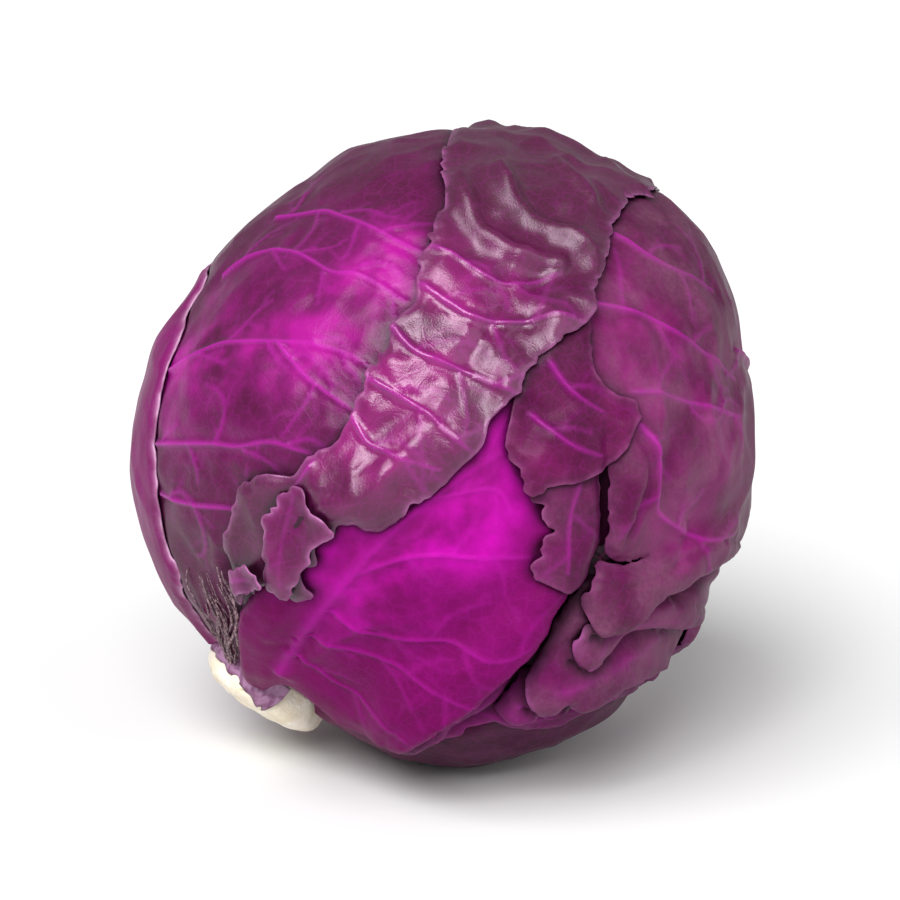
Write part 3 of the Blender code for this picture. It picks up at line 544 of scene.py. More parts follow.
# What only the dressed blades have. veins: how high the small veins stand. pillow: how far the blade
# swells between them. crinkle: uneven dents. ragged: how torn the edge is. roll: a rolled lip along it.
# paint: how pale its veins are.
Fine = namedtuple("Fine", "veins pillow crinkle ragged roll paint")
FINE = {
    "leaf_back": Fine(1.0, 0.5, 0.5, 0.4, 0.0, 0.8),
    "leaf_under": Fine(0.8, 0.3, 0.5, 0.6, 0.3, 0.4),
    "edge_lowest": Fine(0.5, 0.2, 0.4, 0.5, 0.2, 0.3),
    "edge_low": Fine(0.5, 0.2, 0.3, 0.3, 0.2, 0.3),
    "edge_front": Fine(0.5, 0.2, 0.4, 0.4, 0.2, 0.3),
    "leaf_left": Fine(1.0, 0.6, 0.5, 0.3, 0.0, 0.9),
    "leaf_front": Fine(0.7, 0.25, 0.3, 0.3, 0.4, 0.5),
    "flap_lower": Fine(0.8, 0.4, 0.6, 0.6, 0.0, 0.5),
    "fold_low": Fine(0.4, 0.15, 0.55, 0.1, 0.2, 0.25),
    "fold_middle": Fine(0.4, 0.15, 0.45, 0.1, 0.2, 0.25),
    "leaf_right": Fine(1.0, 0.5, 0.6, 0.12, 0.2, 0.8),
    "flap_centre": Fine(0.9, 0.5, 0.7, 0.4, 0.0, 0.6),
    "leaf_far_left": Fine(0.7, 0.3, 0.35, 0.3, 0.0, 0.5),
    "leaf_top": Fine(1.1, 1.0, 1.2, 0.5, 0.0, 0.6),
    "scrap_middle": Fine(0.6, 0.5, 1.2, 0.7, 0.0, 0.2),
    "scrap_low": Fine(0.6, 0.3, 0.6, 0.5, 0.0, 0.4),
}


def heart_height(directions):
    """The heart's radius: the head's, less its wrappers, with the crease and a flat seat for the stem."""
    radius = head_radius(directions) - WRAP_DEPTH
    radius -= ridges(directions, CREASES)
    from_hollow = distance_to(directions, on_head(HOLLOW_CENTRE)[None])
    radius -= HOLLOW_DEPTH * np.exp(-((from_hollow / HOLLOW_WIDTH) ** 2))
    to_stem = directions @ STEM
    seat = STEM_SEAT / np.maximum(to_stem, 0.5)
    near_stem = smoothstep(math.cos(2.4 * COLLAR_ANGLE), math.cos(1.15 * COLLAR_ANGLE), to_stem)
    return radius * (1 - near_stem) + np.minimum(seat, radius) * near_stem


def swelling(directions, from_edge):
    """How much a swollen leaf stands up: rounded from its edge, flat farther in, and only low on the head."""
    rounded = np.sqrt(1 - (1 - np.clip(from_edge / SWELL_WIDTH, 0, 1)) ** 2)
    return rounded * (1 - smoothstep(*SWELL_FADE, from_edge)) * smoothstep(0.14, -0.05, directions @ UP)


def lay_leaf(leaf, directions, surface):
    """A leaf's inner and outer radius over the surface under it, and the surface with the leaf on it."""
    from_edge = signed_distance(directions, leaf["curve"])
    stem_distance = from_stem(directions)
    seed = len(leaf["name"]) * 7 + len(leaf["outline"])
    waves = 0.3 + 1.4 * ripple(directions, seed + 1, 16 * MM)
    edge_lift = leaf["lift"] * MM * waves * np.exp(-np.maximum(from_edge, 0) / (5 * MM))
    puff = leaf["puff"] * MM * ripple(directions, seed, 34 * MM)
    puff *= smoothstep(16 * MM, 34 * MM, stem_distance) * smoothstep(0, 9 * MM, from_edge)
    inner = surface + LEAF_GAP + edge_lift + puff + ridges(directions, leaf["creases"])
    inner += leaf["swell"] * MM * swelling(directions, from_edge)
    inside = smoothstep(-1 * MM, 3 * MM, from_edge)
    base = BASE_THICKENING * (1 - smoothstep(18 * MM, 46 * MM, stem_distance))
    outer = inner + LEAF_THICKNESS + base * inside
    rise = smoothstep(-DRAPE, -FULL_RISE, from_edge)
    return inner, outer, surface + (outer - surface) * rise


def stacked(directions, count):
    """The surface of the heart with the first count leaves on it."""
    surface = heart_height(directions)
    for leaf in LEAVES[:count]:
        surface = lay_leaf(leaf, directions, surface)[2]
    return surface


def covering(directions, number):
    """How far inside the nearest later leaf's edge these directions lie, and negative outside it."""
    cover = np.full(len(directions), -1.0)
    for later in LEAVES[number + 1:]:
        cover = np.maximum(cover, signed_distance(directions, later["curve"]))
    return cover


def bared(cover):
    """1 where a cover is well below 0, fading to 0 under a later leaf's edge."""
    return 1 - smoothstep(-2 * MM, 1.5 * MM, cover)


def beside(curve):
    """The directions along the surface that lead off a closed curve, square to it."""
    return unit(np.cross(curve, np.roll(curve, -1, axis=0) - np.roll(curve, 1, axis=0)))


def ragged(curve, amount, seed):
    """A closed curve made uneven, as a torn or nibbled leaf edge is."""
    draw = np.random.default_rng(seed)
    onward = np.roll(curve, -1, axis=0) - np.roll(curve, 1, axis=0)
    share = np.cumsum(np.linalg.norm(onward, axis=1))
    total = share[-1]
    offset = np.zeros(len(curve))
    for wavelength, size in RAGGED_WAVES:
        turns = round(total * HEAD_RADIUS / 2 / (wavelength * MM))
        offset += size * np.sin(2 * math.pi * turns * share / total + draw.uniform(0, 2 * math.pi))
    swell = 0.1 + 2.4 * ripple(curve, seed, 22 * MM) ** 2
    return unit(curve + beside(curve) * (offset * swell * amount * MM / HEAD_RADIUS)[:, None])


def grow(start, heading, length, bend, draw):
    """A vein's samples 1 mm apart, from a start and a heading, gently bending and wandering."""
    points, turn = [start], bend
    for _ in range(max(2, round(length / MM))):
        turn = 0.8 * turn + 0.2 * bend + draw.normal() * 0.05
        heading = unit(heading - (heading @ points[-1]) * points[-1])
        heading = heading * math.cos(turn) + np.cross(points[-1], heading) * math.sin(turn)
        points.append(unit(points[-1] + heading * MM / HEAD_RADIUS))
    return np.array(points)


def branches(stem, spacing, length, draw):
    """Side veins off a vein, left and right in turn, leaning towards its tip."""
    found = []
    place = draw.uniform(0.4, 1.0) * spacing
    side = 1
    while place < (len(stem) - 3) * MM:
        at = int(place / MM)
        onward = unit(stem[min(at + 2, len(stem) - 1)] - stem[at])
        aside = np.cross(stem[at], onward) * side
        lean = math.radians(draw.uniform(38, 62))
        heading = onward * math.cos(lean) + aside * math.sin(lean)
        reach = length * draw.uniform(0.6, 1.25)
        found.append(grow(stem[at], heading, reach, -side * 0.022, draw))
        place += spacing * draw.uniform(0.7, 1.35)
        side = -side
    return found


# How far apart side veins and twigs start, and how long they grow
BRANCH_SPACING = 11 * MM
BRANCH_LENGTH = 16 * MM
TWIG_SPACING = 6 * MM
TWIG_LENGTH = 8 * MM

# Half of a vein sample's length, the tint above which a vein is a main one, and the height in millimetres
# above which a leaf's first rib is a thick midrib
HALF_SAMPLE = 0.6 * MM / HEAD_RADIUS
MAIN_TINT = 0.5
THICK_RIB = 2


def vein_samples(leaf):
    """Every vein of a leaf as samples: position, rise, width, strength of colour and the way it runs."""
    draw = np.random.default_rng(sum(map(ord, leaf["name"])))
    points, rises, widths, tints, ways = [], [], [], [], []

    def keep(curve, rise, width, tint):
        along = np.arange(len(curve)) / len(curve)
        points.append(curve)
        ways.append(unit(np.gradient(curve, axis=0)))
        rises.append(rise * (1 - 0.55 * along))
        widths.append(width * (1 - 0.40 * along))
        tints.append(tint * (1 - 0.45 * along))

    for knots, rise, width in leaf["ribs"]:
        main = curve_through(knots, closed=False)
        keep(main, 0.95 * rise, 0.42 * width, 1.0)
        for side_vein in branches(main, BRANCH_SPACING, BRANCH_LENGTH, draw):
            keep(side_vein, 0.42, 0.62, 0.45)
            for twig in branches(side_vein, TWIG_SPACING, TWIG_LENGTH, draw):
                keep(twig, 0.10, 0.50, 0.18)
    return [np.concatenate(part) for part in (points, rises, widths, tints, ways)]


def tree_of(points):
    """The points in a tree that finds the nearest of them."""
    tree = kdtree.KDTree(len(points))
    for number, point in enumerate(points):
        tree.insert(point, number)
    tree.balance()
    return tree


def vein_relief(leaf, directions):
    """Vein height in metres, vein colour from 0 to 1, and the distance to the nearest vein."""
    samples, rises, widths, tints, ways = leaf["samples"]
    tree = tree_of(samples)
    index = np.array([[found[1] for found in tree.find_n(spot, 4)] for spot in directions])
    apart = directions[:, None] - samples[index]
    along = (apart * ways[index]).sum(2, keepdims=True).clip(-HALF_SAMPLE, HALF_SAMPLE)
    distance = np.linalg.norm(apart - along * ways[index], axis=2) * HEAD_RADIUS
    spread = (distance / (widths[index] * MM)) ** 2
    height = (rises[index] * np.exp(-spread)).max(1) * MM
    tint = (tints[index] * np.exp(-1.2 * spread)).max(1)
    return height, tint, distance.min(1)


def vein_rails(leaf):
    """Rows of directions on both slopes of the main veins, so that the mesh follows them."""
    samples, _, widths, tints, ways = leaf["samples"]
    main = tints > MAIN_TINT
    sideways = np.cross(samples, ways)[main] * (widths[main] * MM / HEAD_RADIUS)[:, None]
    return unit(np.concatenate([samples[main] + side * sideways for side in (-0.9, 0.9, -1.9, 1.9)]))


def thinned(kept, points, apart):
    """Those of the points that are farther than this from all that are kept."""
    tree = tree_of(kept)
    limit = apart / HEAD_RADIUS
    return np.array([point for point in points if tree.find(point)[2] > limit]).reshape(-1, 3)


def grid_in(middle, reach, step):
    """A grid of directions in equal triangles, round a middle direction."""
    pace = step / HEAD_RADIUS
    rows = int(reach / (0.866 * pace)) + 1
    columns = int(reach / pace) + 1
    y, x = np.meshgrid(np.arange(-rows, rows + 1), np.arange(-columns, columns + 1), indexing="ij")
    flat = np.stack(((x + 0.5 * (y % 2)).ravel() * pace, y.ravel() * 0.866 * pace), 1)
    return from_chart(middle, flat[np.linalg.norm(flat, axis=1) < min(reach, 3.0)])


def sheet_points(leaf, number, curve):
    """The points of a blade: its edge, then rows beside the edge and the main veins, then two grids."""
    points = curve
    for depth in LIP_ROWS:
        for side in (1, -1):
            row = unit(curve + beside(curve) * side * depth / HEAD_RADIUS)
            row = row[inside_of(row, curve)]
            points = np.vstack((points, thinned(points, row, 0.45 * MM)))
    for row in (leaf["samples"][0], vein_rails(leaf)):
        row = row[inside_of(row, curve)]
        row = row[bared(covering(row, number)) > 0]
        points = np.vstack((points, thinned(points, row, 0.5 * MM)))
    middle = unit(curve.mean(0))
    reach = np.linalg.norm(to_chart(middle, curve), axis=1).max() + 0.02
    for step, is_bare in ((OPEN_STEP, True), (COVERED_STEP, False)):
        grid = grid_in(middle, reach, step)
        grid = grid[inside_of(grid, curve)]
        grid = grid[(bared(covering(grid, number)) > 0) == is_bare]
        points = np.vstack((points, thinned(points, grid, 0.7 * step)))
    return points


def collar_ring():
    """The ring round the stem where the blades end."""
    across = unit(np.cross(STEM, UP))
    along = np.cross(STEM, across)
    turns = np.arange(COLLAR_POINTS) * 2 * math.pi / COLLAR_POINTS
    ring = np.outer(np.cos(turns), across) + np.outer(np.sin(turns), along)
    return math.cos(COLLAR_ANGLE) * STEM + math.sin(COLLAR_ANGLE) * ring


def sheet_of(leaf, number):
    """A leaf's blade as a bmesh of unit directions, inside its ragged edge and outside the collar."""
    curve = curve_through(leaf["outline"], closed=True, step=EDGE_STEP)
    curve = ragged(curve, FINE[leaf["name"]].ragged, len(leaf["outline"]))
    middle = unit(curve.mean(0))
    points = sheet_points(leaf, number, curve)
    collar = collar_ring()
    first = len(points)
    edges = [(first + k, first + (k + 1) % COLLAR_POINTS) for k in range(COLLAR_POINTS)]
    if middle @ STEM < -0.5:
        collar, edges = np.empty((0, 3)), []
    flat = to_chart(middle, np.vstack((points, collar)))
    corners, _, faces, *_ = geometry.delaunay_2d_cdt(
        [Vector(spot) for spot in flat], edges, [list(range(len(curve)))], 1, 1e-7, False
    )
    directions = from_chart(middle, np.array([tuple(corner) for corner in corners]))
    faces = np.array(faces)
    middles = unit(directions[faces].mean(1))
    faces = faces[(middles @ STEM < math.cos(COLLAR_ANGLE)) & inside_of(middles, curve)]

    blade = bmesh.new()
    for direction in directions:
        blade.verts.new(direction)
    blade.verts.ensure_lookup_table()
    for face in faces:
        blade.faces.new([blade.verts[corner] for corner in face])
    loose = [vertex for vertex in blade.verts if not vertex.link_faces]
    bmesh.ops.delete(blade, geom=loose, context="VERTS")
    keep_one_sheet(blade)
    return blade, curve


def joined(faces):
    """The faces as groups that are joined by edges."""
    left, groups = set(faces), []
    for seed in faces:
        if seed not in left:
            continue
        left.discard(seed)
        group = [seed]
        for face in group:
            for edge in face.edges:
                for other in edge.link_faces:
                    if other in left:
                        left.discard(other)
                        group.append(other)
        groups.append(group)
    return groups


def keep_one_sheet(blade):
    """Leaves the largest edge-joined sheet."""
    sheets = sorted(joined(list(blade.faces)), key=len)
    for sheet in sheets[:-1]:
        bmesh.ops.delete(blade, geom=sheet, context="FACES")


def floor_settle(directions):
    """How far the head's own weight presses it in, where it would reach below the floor."""
    settle = np.zeros(len(directions))
    low = directions @ DOWN > math.cos(math.radians(30))
    if low.any():
        top = stacked(directions[low], len(LEAVES))
        settle[low] = np.maximum(top - CENTRE[2] / -directions[low][:, 2], 0)
    return settle


# Torn edges and scraps that belong to a larger leaf
STANDS_FOR = {
    "edge_lowest": "leaf_under", "edge_low": "leaf_under", "edge_front": "leaf_under",
    "scrap_middle": "leaf_top", "scrap_low": "leaf_top",
}

# The leaves that are seen at the bottom of the creases, where painted shade makes them nearly black
CREASED = (
    "leaf_under", "leaf_left", "leaf_front", "edge_lowest", "edge_front", "edge_low", "fold_low",
    "fold_middle",
)


def in_creases(directions):
    """1 along the creases, fading to 0 beside them."""
    depth = np.zeros(len(directions))
    for points, _, width in CREASES:
        apart = distance_to_line(directions, points)
        depth = np.maximum(depth, np.exp(-((apart / (0.5 * width * MM)) ** 2)))
    return depth


def painted_light_on(name, directions):
    """How much painted light a leaf has at each direction, from 0 to 1: most along its line, less away from
    it.
    """
    if name not in PAINTED_LIGHT_LINES:
        return np.full(len(directions), SPREAD_PAINTED_LIGHT)
    points, width = PAINTED_LIGHT_LINES[name]
    return np.exp(-((distance_to_line(directions, points) / (width * MM)) ** 2))


def dents(name, directions, from_vein):
    """The pillows between a blade's veins and its crinkles, in metres."""
    fine, seed = FINE[name], sum(map(ord, name))
    pillow = fine.pillow * MM * (1 - np.exp(-((from_vein / (4.2 * MM)) ** 2)))
    crinkle = 1.5 * crumple(directions, seed, 30 * MM) + 0.7 * crumple(directions, seed + 1, 18 * MM)
    return pillow + fine.crinkle * MM * (crinkle - 1.3)


def skin_heights(number, directions, from_edge, bare, shape, vein):
    """The radii of a blade's inner and outer skin."""
    name = LEAVES[number]["name"]
    fine, seed = FINE[name], sum(map(ord, name))
    inner, outer, _ = lay_leaf(LEAVES[number], directions, stacked(directions, number))
    flutter = 0.5 * MM * (ripple(directions, seed + 3, 7 * MM) - 0.35) * np.exp(-from_edge / (2.5 * MM))
    lip = fine.roll * MM * np.exp(-(((from_edge - 1.8 * MM) / (1.4 * MM)) ** 2))
    thickness = (outer - inner) * (0.40 + 0.60 * smoothstep(0, 2 * MM, from_edge))
    inner = inner + (shape + flutter * bare)
    calm = smoothstep(0, 3 * MM, from_edge) * bare
    return inner, inner + thickness + (fine.veins * vein + lip * bare) * np.maximum(calm, 0.3 * bare)


def give_two_skins(blade, directions, inner, outer):
    """Turns a sheet into a closed blade. Returns each vertex's place in the sheet, and if it is outside."""
    source = blade.verts.layers.int.new("source")
    for place, vertex in enumerate(blade.verts):
        vertex[source] = place
    settle = floor_settle(directions)
    grown = bmesh.ops.extrude_face_region(blade, geom=blade.faces[:], use_keep_orig=True)
    raised = {part for part in grown["geom"] if isinstance(part, bmesh.types.BMVert)}
    place_of = np.array([vertex[source] for vertex in blade.verts])
    is_outer = np.array([vertex in raised for vertex in blade.verts])
    radius = np.where(is_outer, outer[place_of], inner[place_of]) - settle[place_of]
    spots = directions[place_of] * radius[:, None] + CENTRE
    spots[:, 2] = np.maximum(spots[:, 2], 0)
    move_to(blade, spots)
    bmesh.ops.recalc_face_normals(blade, faces=blade.faces)
    return place_of, is_outer


def rib_readings(leaf, directions):
    """How close each direction is to the leaf's thick midrib and to any of its ribs, from 0 to 1."""
    beside_rib = np.full(len(directions), 4.0)
    for points, _, _ in leaf["ribs"]:
        beside_rib = np.minimum(beside_rib, distance_to_line(directions, points))
    keel = np.zeros(len(directions))
    midrib, rise, _ = leaf["ribs"][0]
    if rise > THICK_RIB:
        keel = np.exp(-((distance_to_line(directions, midrib) / (6 * MM)) ** 2))
    return keel, np.exp(-((beside_rib / (6.5 * MM)) ** 2))


def dress_leaf(number, finish):
    """A leaf's piece: its sheet, given two skins, and what the material reads at each point."""
    leaf = LEAVES[number]
    name = leaf["name"]
    leaf["samples"] = vein_samples(leaf)
    blade, edge = sheet_of(leaf, number)
    directions = unit(np.array([vertex.co for vertex in blade.verts]))
    from_edge = distance_to(directions, edge)
    cover = covering(directions, number)
    bare = bared(cover)
    vein, tint, from_vein = vein_relief(leaf, directions)
    shape = dents(name, directions, from_vein) * (smoothstep(0, 3 * MM, from_edge) * bare)
    inner, outer = skin_heights(number, directions, from_edge, bare, shape, vein)
    place_of, is_outer = give_two_skins(blade, directions, inner, outer)

    keel, flush = rib_readings(leaf, directions)
    tint = tint * FINE[name].paint
    readings = {
        "vein": np.where(is_outer, tint[place_of], 0.6 * tint[place_of]),
        # painted light: 1 along a line on the leaf, falling off away from it
        "painted_light": painted_light_on(name, directions)[place_of],
        "margin": np.exp(-from_edge / (0.6 * MM))[place_of],
        "base": (1 - smoothstep(17 * MM, 60 * MM, from_stem(directions)))[place_of],
        "keel": keel[place_of],
        "flush": flush[place_of],
        # painted light and shade: 1 on the crests of the dents, 0 in their hollows
        "relief_shading": np.clip(0.5 + shape / (1.6 * MM), 0, 1)[place_of],
        # painted shade: nearly black along the bottom of the creases
        "shaded_crease": (in_creases(directions) * (name in CREASED))[place_of],
        # painted shade: darker just outside the edge of a later leaf that lies over this one
        "edge_shadow": np.exp(np.minimum(cover, 0) / (1.5 * MM))[place_of],
    }
    piece = add_piece("blade_" + name, blade, finish, readings)
    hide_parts(STANDS_FOR.get(name, name))
    return piece


def move_to(shape, spots):
    for vertex, spot in zip(shape.verts, spots):
        vertex.co = spot


def add_piece(name, shape, finish, readings=()):
    """An object with one material, and with the readings that the material looks up at each vertex."""
    mesh = bpy.data.meshes.new(name)
    shape.to_mesh(mesh)
    shape.free()
    mesh.materials.append(finish)
    mesh.shade_smooth()
    for reading, values in dict(readings).items():
        layer = mesh.attributes.new(reading, "FLOAT", "POINT")
        layer.data.foreach_set("value", values.astype(np.float32))
    piece = bpy.data.objects.new(name, mesh)
    bpy.context.scene.collection.objects.link(piece)
    return piece


# The blades' colours, all linear. dark and bright: the two tones that drift over a blade. bloom: how much
# of the waxy grey film is left. gloss: how wet it looks.
Tones = namedtuple("Tones", "dark bright bloom gloss")
TONES = {
    "leaf_back": Tones((0.075, 0.003, 0.038), (0.25, 0.006, 0.155), 0.35, 0.10),
    # leaf_under's tones are painted dark as shade, low on the head and deep in the creases
    "leaf_under": Tones((0.018, 0.001, 0.008), (0.080, 0.003, 0.042), 0.20, 0.02),
    "edge_lowest": Tones((0.030, 0.002, 0.014), (0.20, 0.007, 0.13), 0.25, 0.02),
    "edge_low": Tones((0.035, 0.002, 0.018), (0.24, 0.009, 0.16), 0.30, 0.02),
    "edge_front": Tones((0.035, 0.002, 0.018), (0.24, 0.007, 0.16), 0.15, 0.02),
    "leaf_left": Tones((0.052, 0.001, 0.022), (0.33, 0.002, 0.215), 0.04, 0.20),
    "leaf_front": Tones((0.115, 0.002, 0.058), (0.46, 0.003, 0.335), 0.02, 0.0),
    "flap_lower": Tones((0.045, 0.002, 0.022), (0.155, 0.005, 0.088), 0.30, 0.08),
    "fold_low": Tones((0.050, 0.003, 0.026), (0.17, 0.007, 0.100), 0.75, 0.05),
    "fold_middle": Tones((0.050, 0.003, 0.026), (0.17, 0.007, 0.100), 0.75, 0.05),
    "leaf_right": Tones((0.055, 0.004, 0.026), (0.21, 0.010, 0.122), 0.72, 0.06),
    "flap_centre": Tones((0.045, 0.002, 0.021), (0.15, 0.005, 0.075), 0.16, 0.06),
    "leaf_far_left": Tones((0.12, 0.002, 0.064), (0.26, 0.003, 0.160), 0.04, 0.02),
    "leaf_top": Tones((0.050, 0.001, 0.021), (0.20, 0.002, 0.108), 0.02, 0.46),
    "scrap_middle": Tones((0.050, 0.002, 0.024), (0.18, 0.005, 0.10), 0.10, 0.30),
    "scrap_low": Tones((0.060, 0.004, 0.034), (0.22, 0.012, 0.14), 0.30, 0.20),
}

# Where a leaf is painted brightest, as a pool of painted light: (points, width in millimetres). It is painted
# darker away from the line.
PAINTED_LIGHT_LINES = {
    "leaf_front": ([(-24, -32), (-16, -26), (-4, -20), (8, -10), (15, 2)], 19),
    "leaf_left": ([(-68, 20), (-56, 25), (-40, 27), (-28, 34), (-14, 44)], 17),
    "leaf_top": ([(-24, 2), (-12, 14), (-2, 26), (10, 36)], 16),
    "leaf_right": ([(50, 26), (64, 12), (68, -4), (60, -20)], 22),
}
# The even share of painted light on a leaf that has no line
SPREAD_PAINTED_LIGHT = 0.6

# Torn and cut edges that are paler than the others, partly from their own pale cut edge and partly as a
# painted highlight along the lip: (share, colour)
RIMS = {
    "leaf_far_left": (0.80, (0.66, 0.38, 0.58)),
    "leaf_top": (0.60, (0.42, 0.12, 0.34)),
    "scrap_middle": (0.75, (0.46, 0.16, 0.38)),
    "scrap_low": (0.75, (0.46, 0.16, 0.38)),
    "flap_centre": (0.55, (0.34, 0.09, 0.25)),
    "flap_lower": (0.60, (0.36, 0.10, 0.27)),
    "fold_low": (0.75, (0.40, 0.10, 0.32)),
    "fold_middle": (0.75, (0.40, 0.10, 0.32)),
    "leaf_right": (0.60, (0.30, 0.07, 0.21)),
}

# Colours that all leaves share, and the tint of their highlights; the near-black crease colour is painted
# shade
VEIN_COLOUR = (0.48, 0.014, 0.38)
# the edge colour is partly a painted highlight along lit lips
EDGE_COLOUR = (0.30, 0.04, 0.22)
BASE_COLOUR = (0.145, 0.008, 0.066)
BLOOM_COLOUR = (0.20, 0.075, 0.135)
PAINTED_SHADE_COLOUR = (0.014, 0.001, 0.007)
GLOSS_TINT = (1.0, 0.84, 0.97)


class Recipe:
    """A material's nodes, made one call at a time. A socket is given a number, a colour or an output."""

    def __init__(self, name):
        self.material = bpy.data.materials.new(name)
        self.material.use_nodes = True
        self.tree = self.material.node_tree
        self.shader = self.tree.nodes["Principled BSDF"]
        self.spot = self.add("ShaderNodeTexCoord").outputs["Object"]

    def add(self, kind, sockets=(), **settings):
        made = self.tree.nodes.new(kind)
        for name, value in settings.items():
            setattr(made, name, value)
        self.fill(made, dict(sockets))
        return made

    def fill(self, made, sockets):
        for name, value in sockets.items():
            if isinstance(value, bpy.types.NodeSocket):
                self.tree.links.new(value, made.inputs[name])
            elif isinstance(value, tuple) and len(value) == 3 and made.inputs[name].type == "RGBA":
                made.inputs[name].default_value = (*value, 1.0)
            else:
                made.inputs[name].default_value = value

    def reading(self, name):
        return self.add("ShaderNodeAttribute", attribute_name=name).outputs["Fac"]

    def noise(self, wavelength, detail=2.0, warp=0.0):
        sockets = {"Vector": self.spot, "Scale": 1 / wavelength, "Detail": detail, "Distortion": warp}
        return self.add("ShaderNodeTexNoise", sockets).outputs["Fac"]

    def cell_walls(self, size, spot):
        """The distance from the walls between cells of about this size, as a share of the size."""
        sockets = {"Vector": spot, "Scale": 1 / size}
        return self.add("ShaderNodeTexVoronoi", sockets, feature="DISTANCE_TO_EDGE").outputs["Distance"]

    def step(self, value, low, high):
        sockets = {"Value": value, "From Min": low, "From Max": high}
        return self.add("ShaderNodeMapRange", sockets, interpolation_type="SMOOTHSTEP").outputs["Result"]

    def maths(self, operation, first, second=0.0):
        return self.add("ShaderNodeMath", {0: first, 1: second}, operation=operation).outputs[0]

    def scaled(self, value, share):
        return self.maths("MULTIPLY", value, share)

    def line(self, value, start, slope):
        """start + slope × value."""
        return self.maths("ADD", start, self.scaled(value, slope))

    def blend(self, share, first, second):
        made = self.add("ShaderNodeMix", data_type="RGBA")
        self.fill(made, {0: share, 6: first, 7: second})
        return made.outputs[2]

    def warped(self, wavelength, reach):
        """The object's coordinates pushed about by a noise, so that a pattern isn't regular."""
        drift = self.add("ShaderNodeTexNoise", {"Vector": self.spot, "Scale": 1 / wavelength})
        sockets = {0: drift.outputs["Color"], 1: (reach, reach, reach)}
        shift = self.add("ShaderNodeVectorMath", sockets, operation="MULTIPLY")
        return self.add("ShaderNodeVectorMath", {0: self.spot, 1: shift.outputs[0]}).outputs[0]

    def bump(self, height, distance, under=None):
        sockets = {"Height": height, "Distance": distance}
        if under is not None:
            sockets["Normal"] = under
        return self.add("ShaderNodeBump", sockets).outputs["Normal"]

    def finished(self, colour, rough, skin, **sockets):
        """The material, with what its shader is given."""
        self.fill(self.shader, {"Base Color": colour, "Roughness": rough, "Normal": skin})
        self.fill(self.shader, sockets)
        return self.material


def leaf_tone(made, painted_light, flush):
    """How bright the blade is, drifting over it, and how much of its darkest tone comes through. Both follow
    the painted light: brighter along its line, with fewer dark patches there.
    """
    drift = made.step(made.noise(24 * MM, 3.0), 0.26, 0.76)
    patch = made.step(made.noise(7 * MM, 3.0), 0.30, 0.75)
    tone = made.maths("ADD", made.scaled(drift, 0.65), made.scaled(patch, 0.35))
    # painted shade in the dents and painted light on their crests
    tone = made.scaled(tone, made.line(made.reading("relief_shading"), 0.55, 0.9))
    # painted light and shade: brighter along the line, darker away from it
    tone = made.scaled(tone, made.line(painted_light, 0.14, 1.15))
    tone = made.scaled(tone, made.line(flush, 0.72, 0.60))
    deep = made.step(made.noise(13 * MM, 3.0, 0.3), 0.36, 0.72)
    deep = made.scaled(deep, made.line(flush, 1.0, -0.65))
    return tone, made.scaled(deep, made.line(painted_light, 0.75, -0.55))


def vein_net(made):
    """A net of fine veins, and the share of vein colour that it and a smaller net give."""
    spot = made.warped(5 * MM, 2.2 * MM)
    net = made.step(made.cell_walls(3.4 * MM, spot), 0.10, 0.0)
    small_net = made.step(made.cell_walls(1.3 * MM, spot), 0.14, 0.0)
    return net, made.maths("ADD", made.scaled(net, 0.05), made.scaled(small_net, 0.03))


def waxy_film(made, bloom):
    """The share of the grey, waxy film: in patches, and rubbed to dust in them."""
    film = made.step(made.noise(15 * MM, 5.0, 0.4), 0.32, 0.80)
    dust = made.step(made.noise(1.1 * MM, 3.0), 0.30, 0.75)
    return made.scaled(made.scaled(film, made.line(dust, 0.60, 0.40)), bloom)


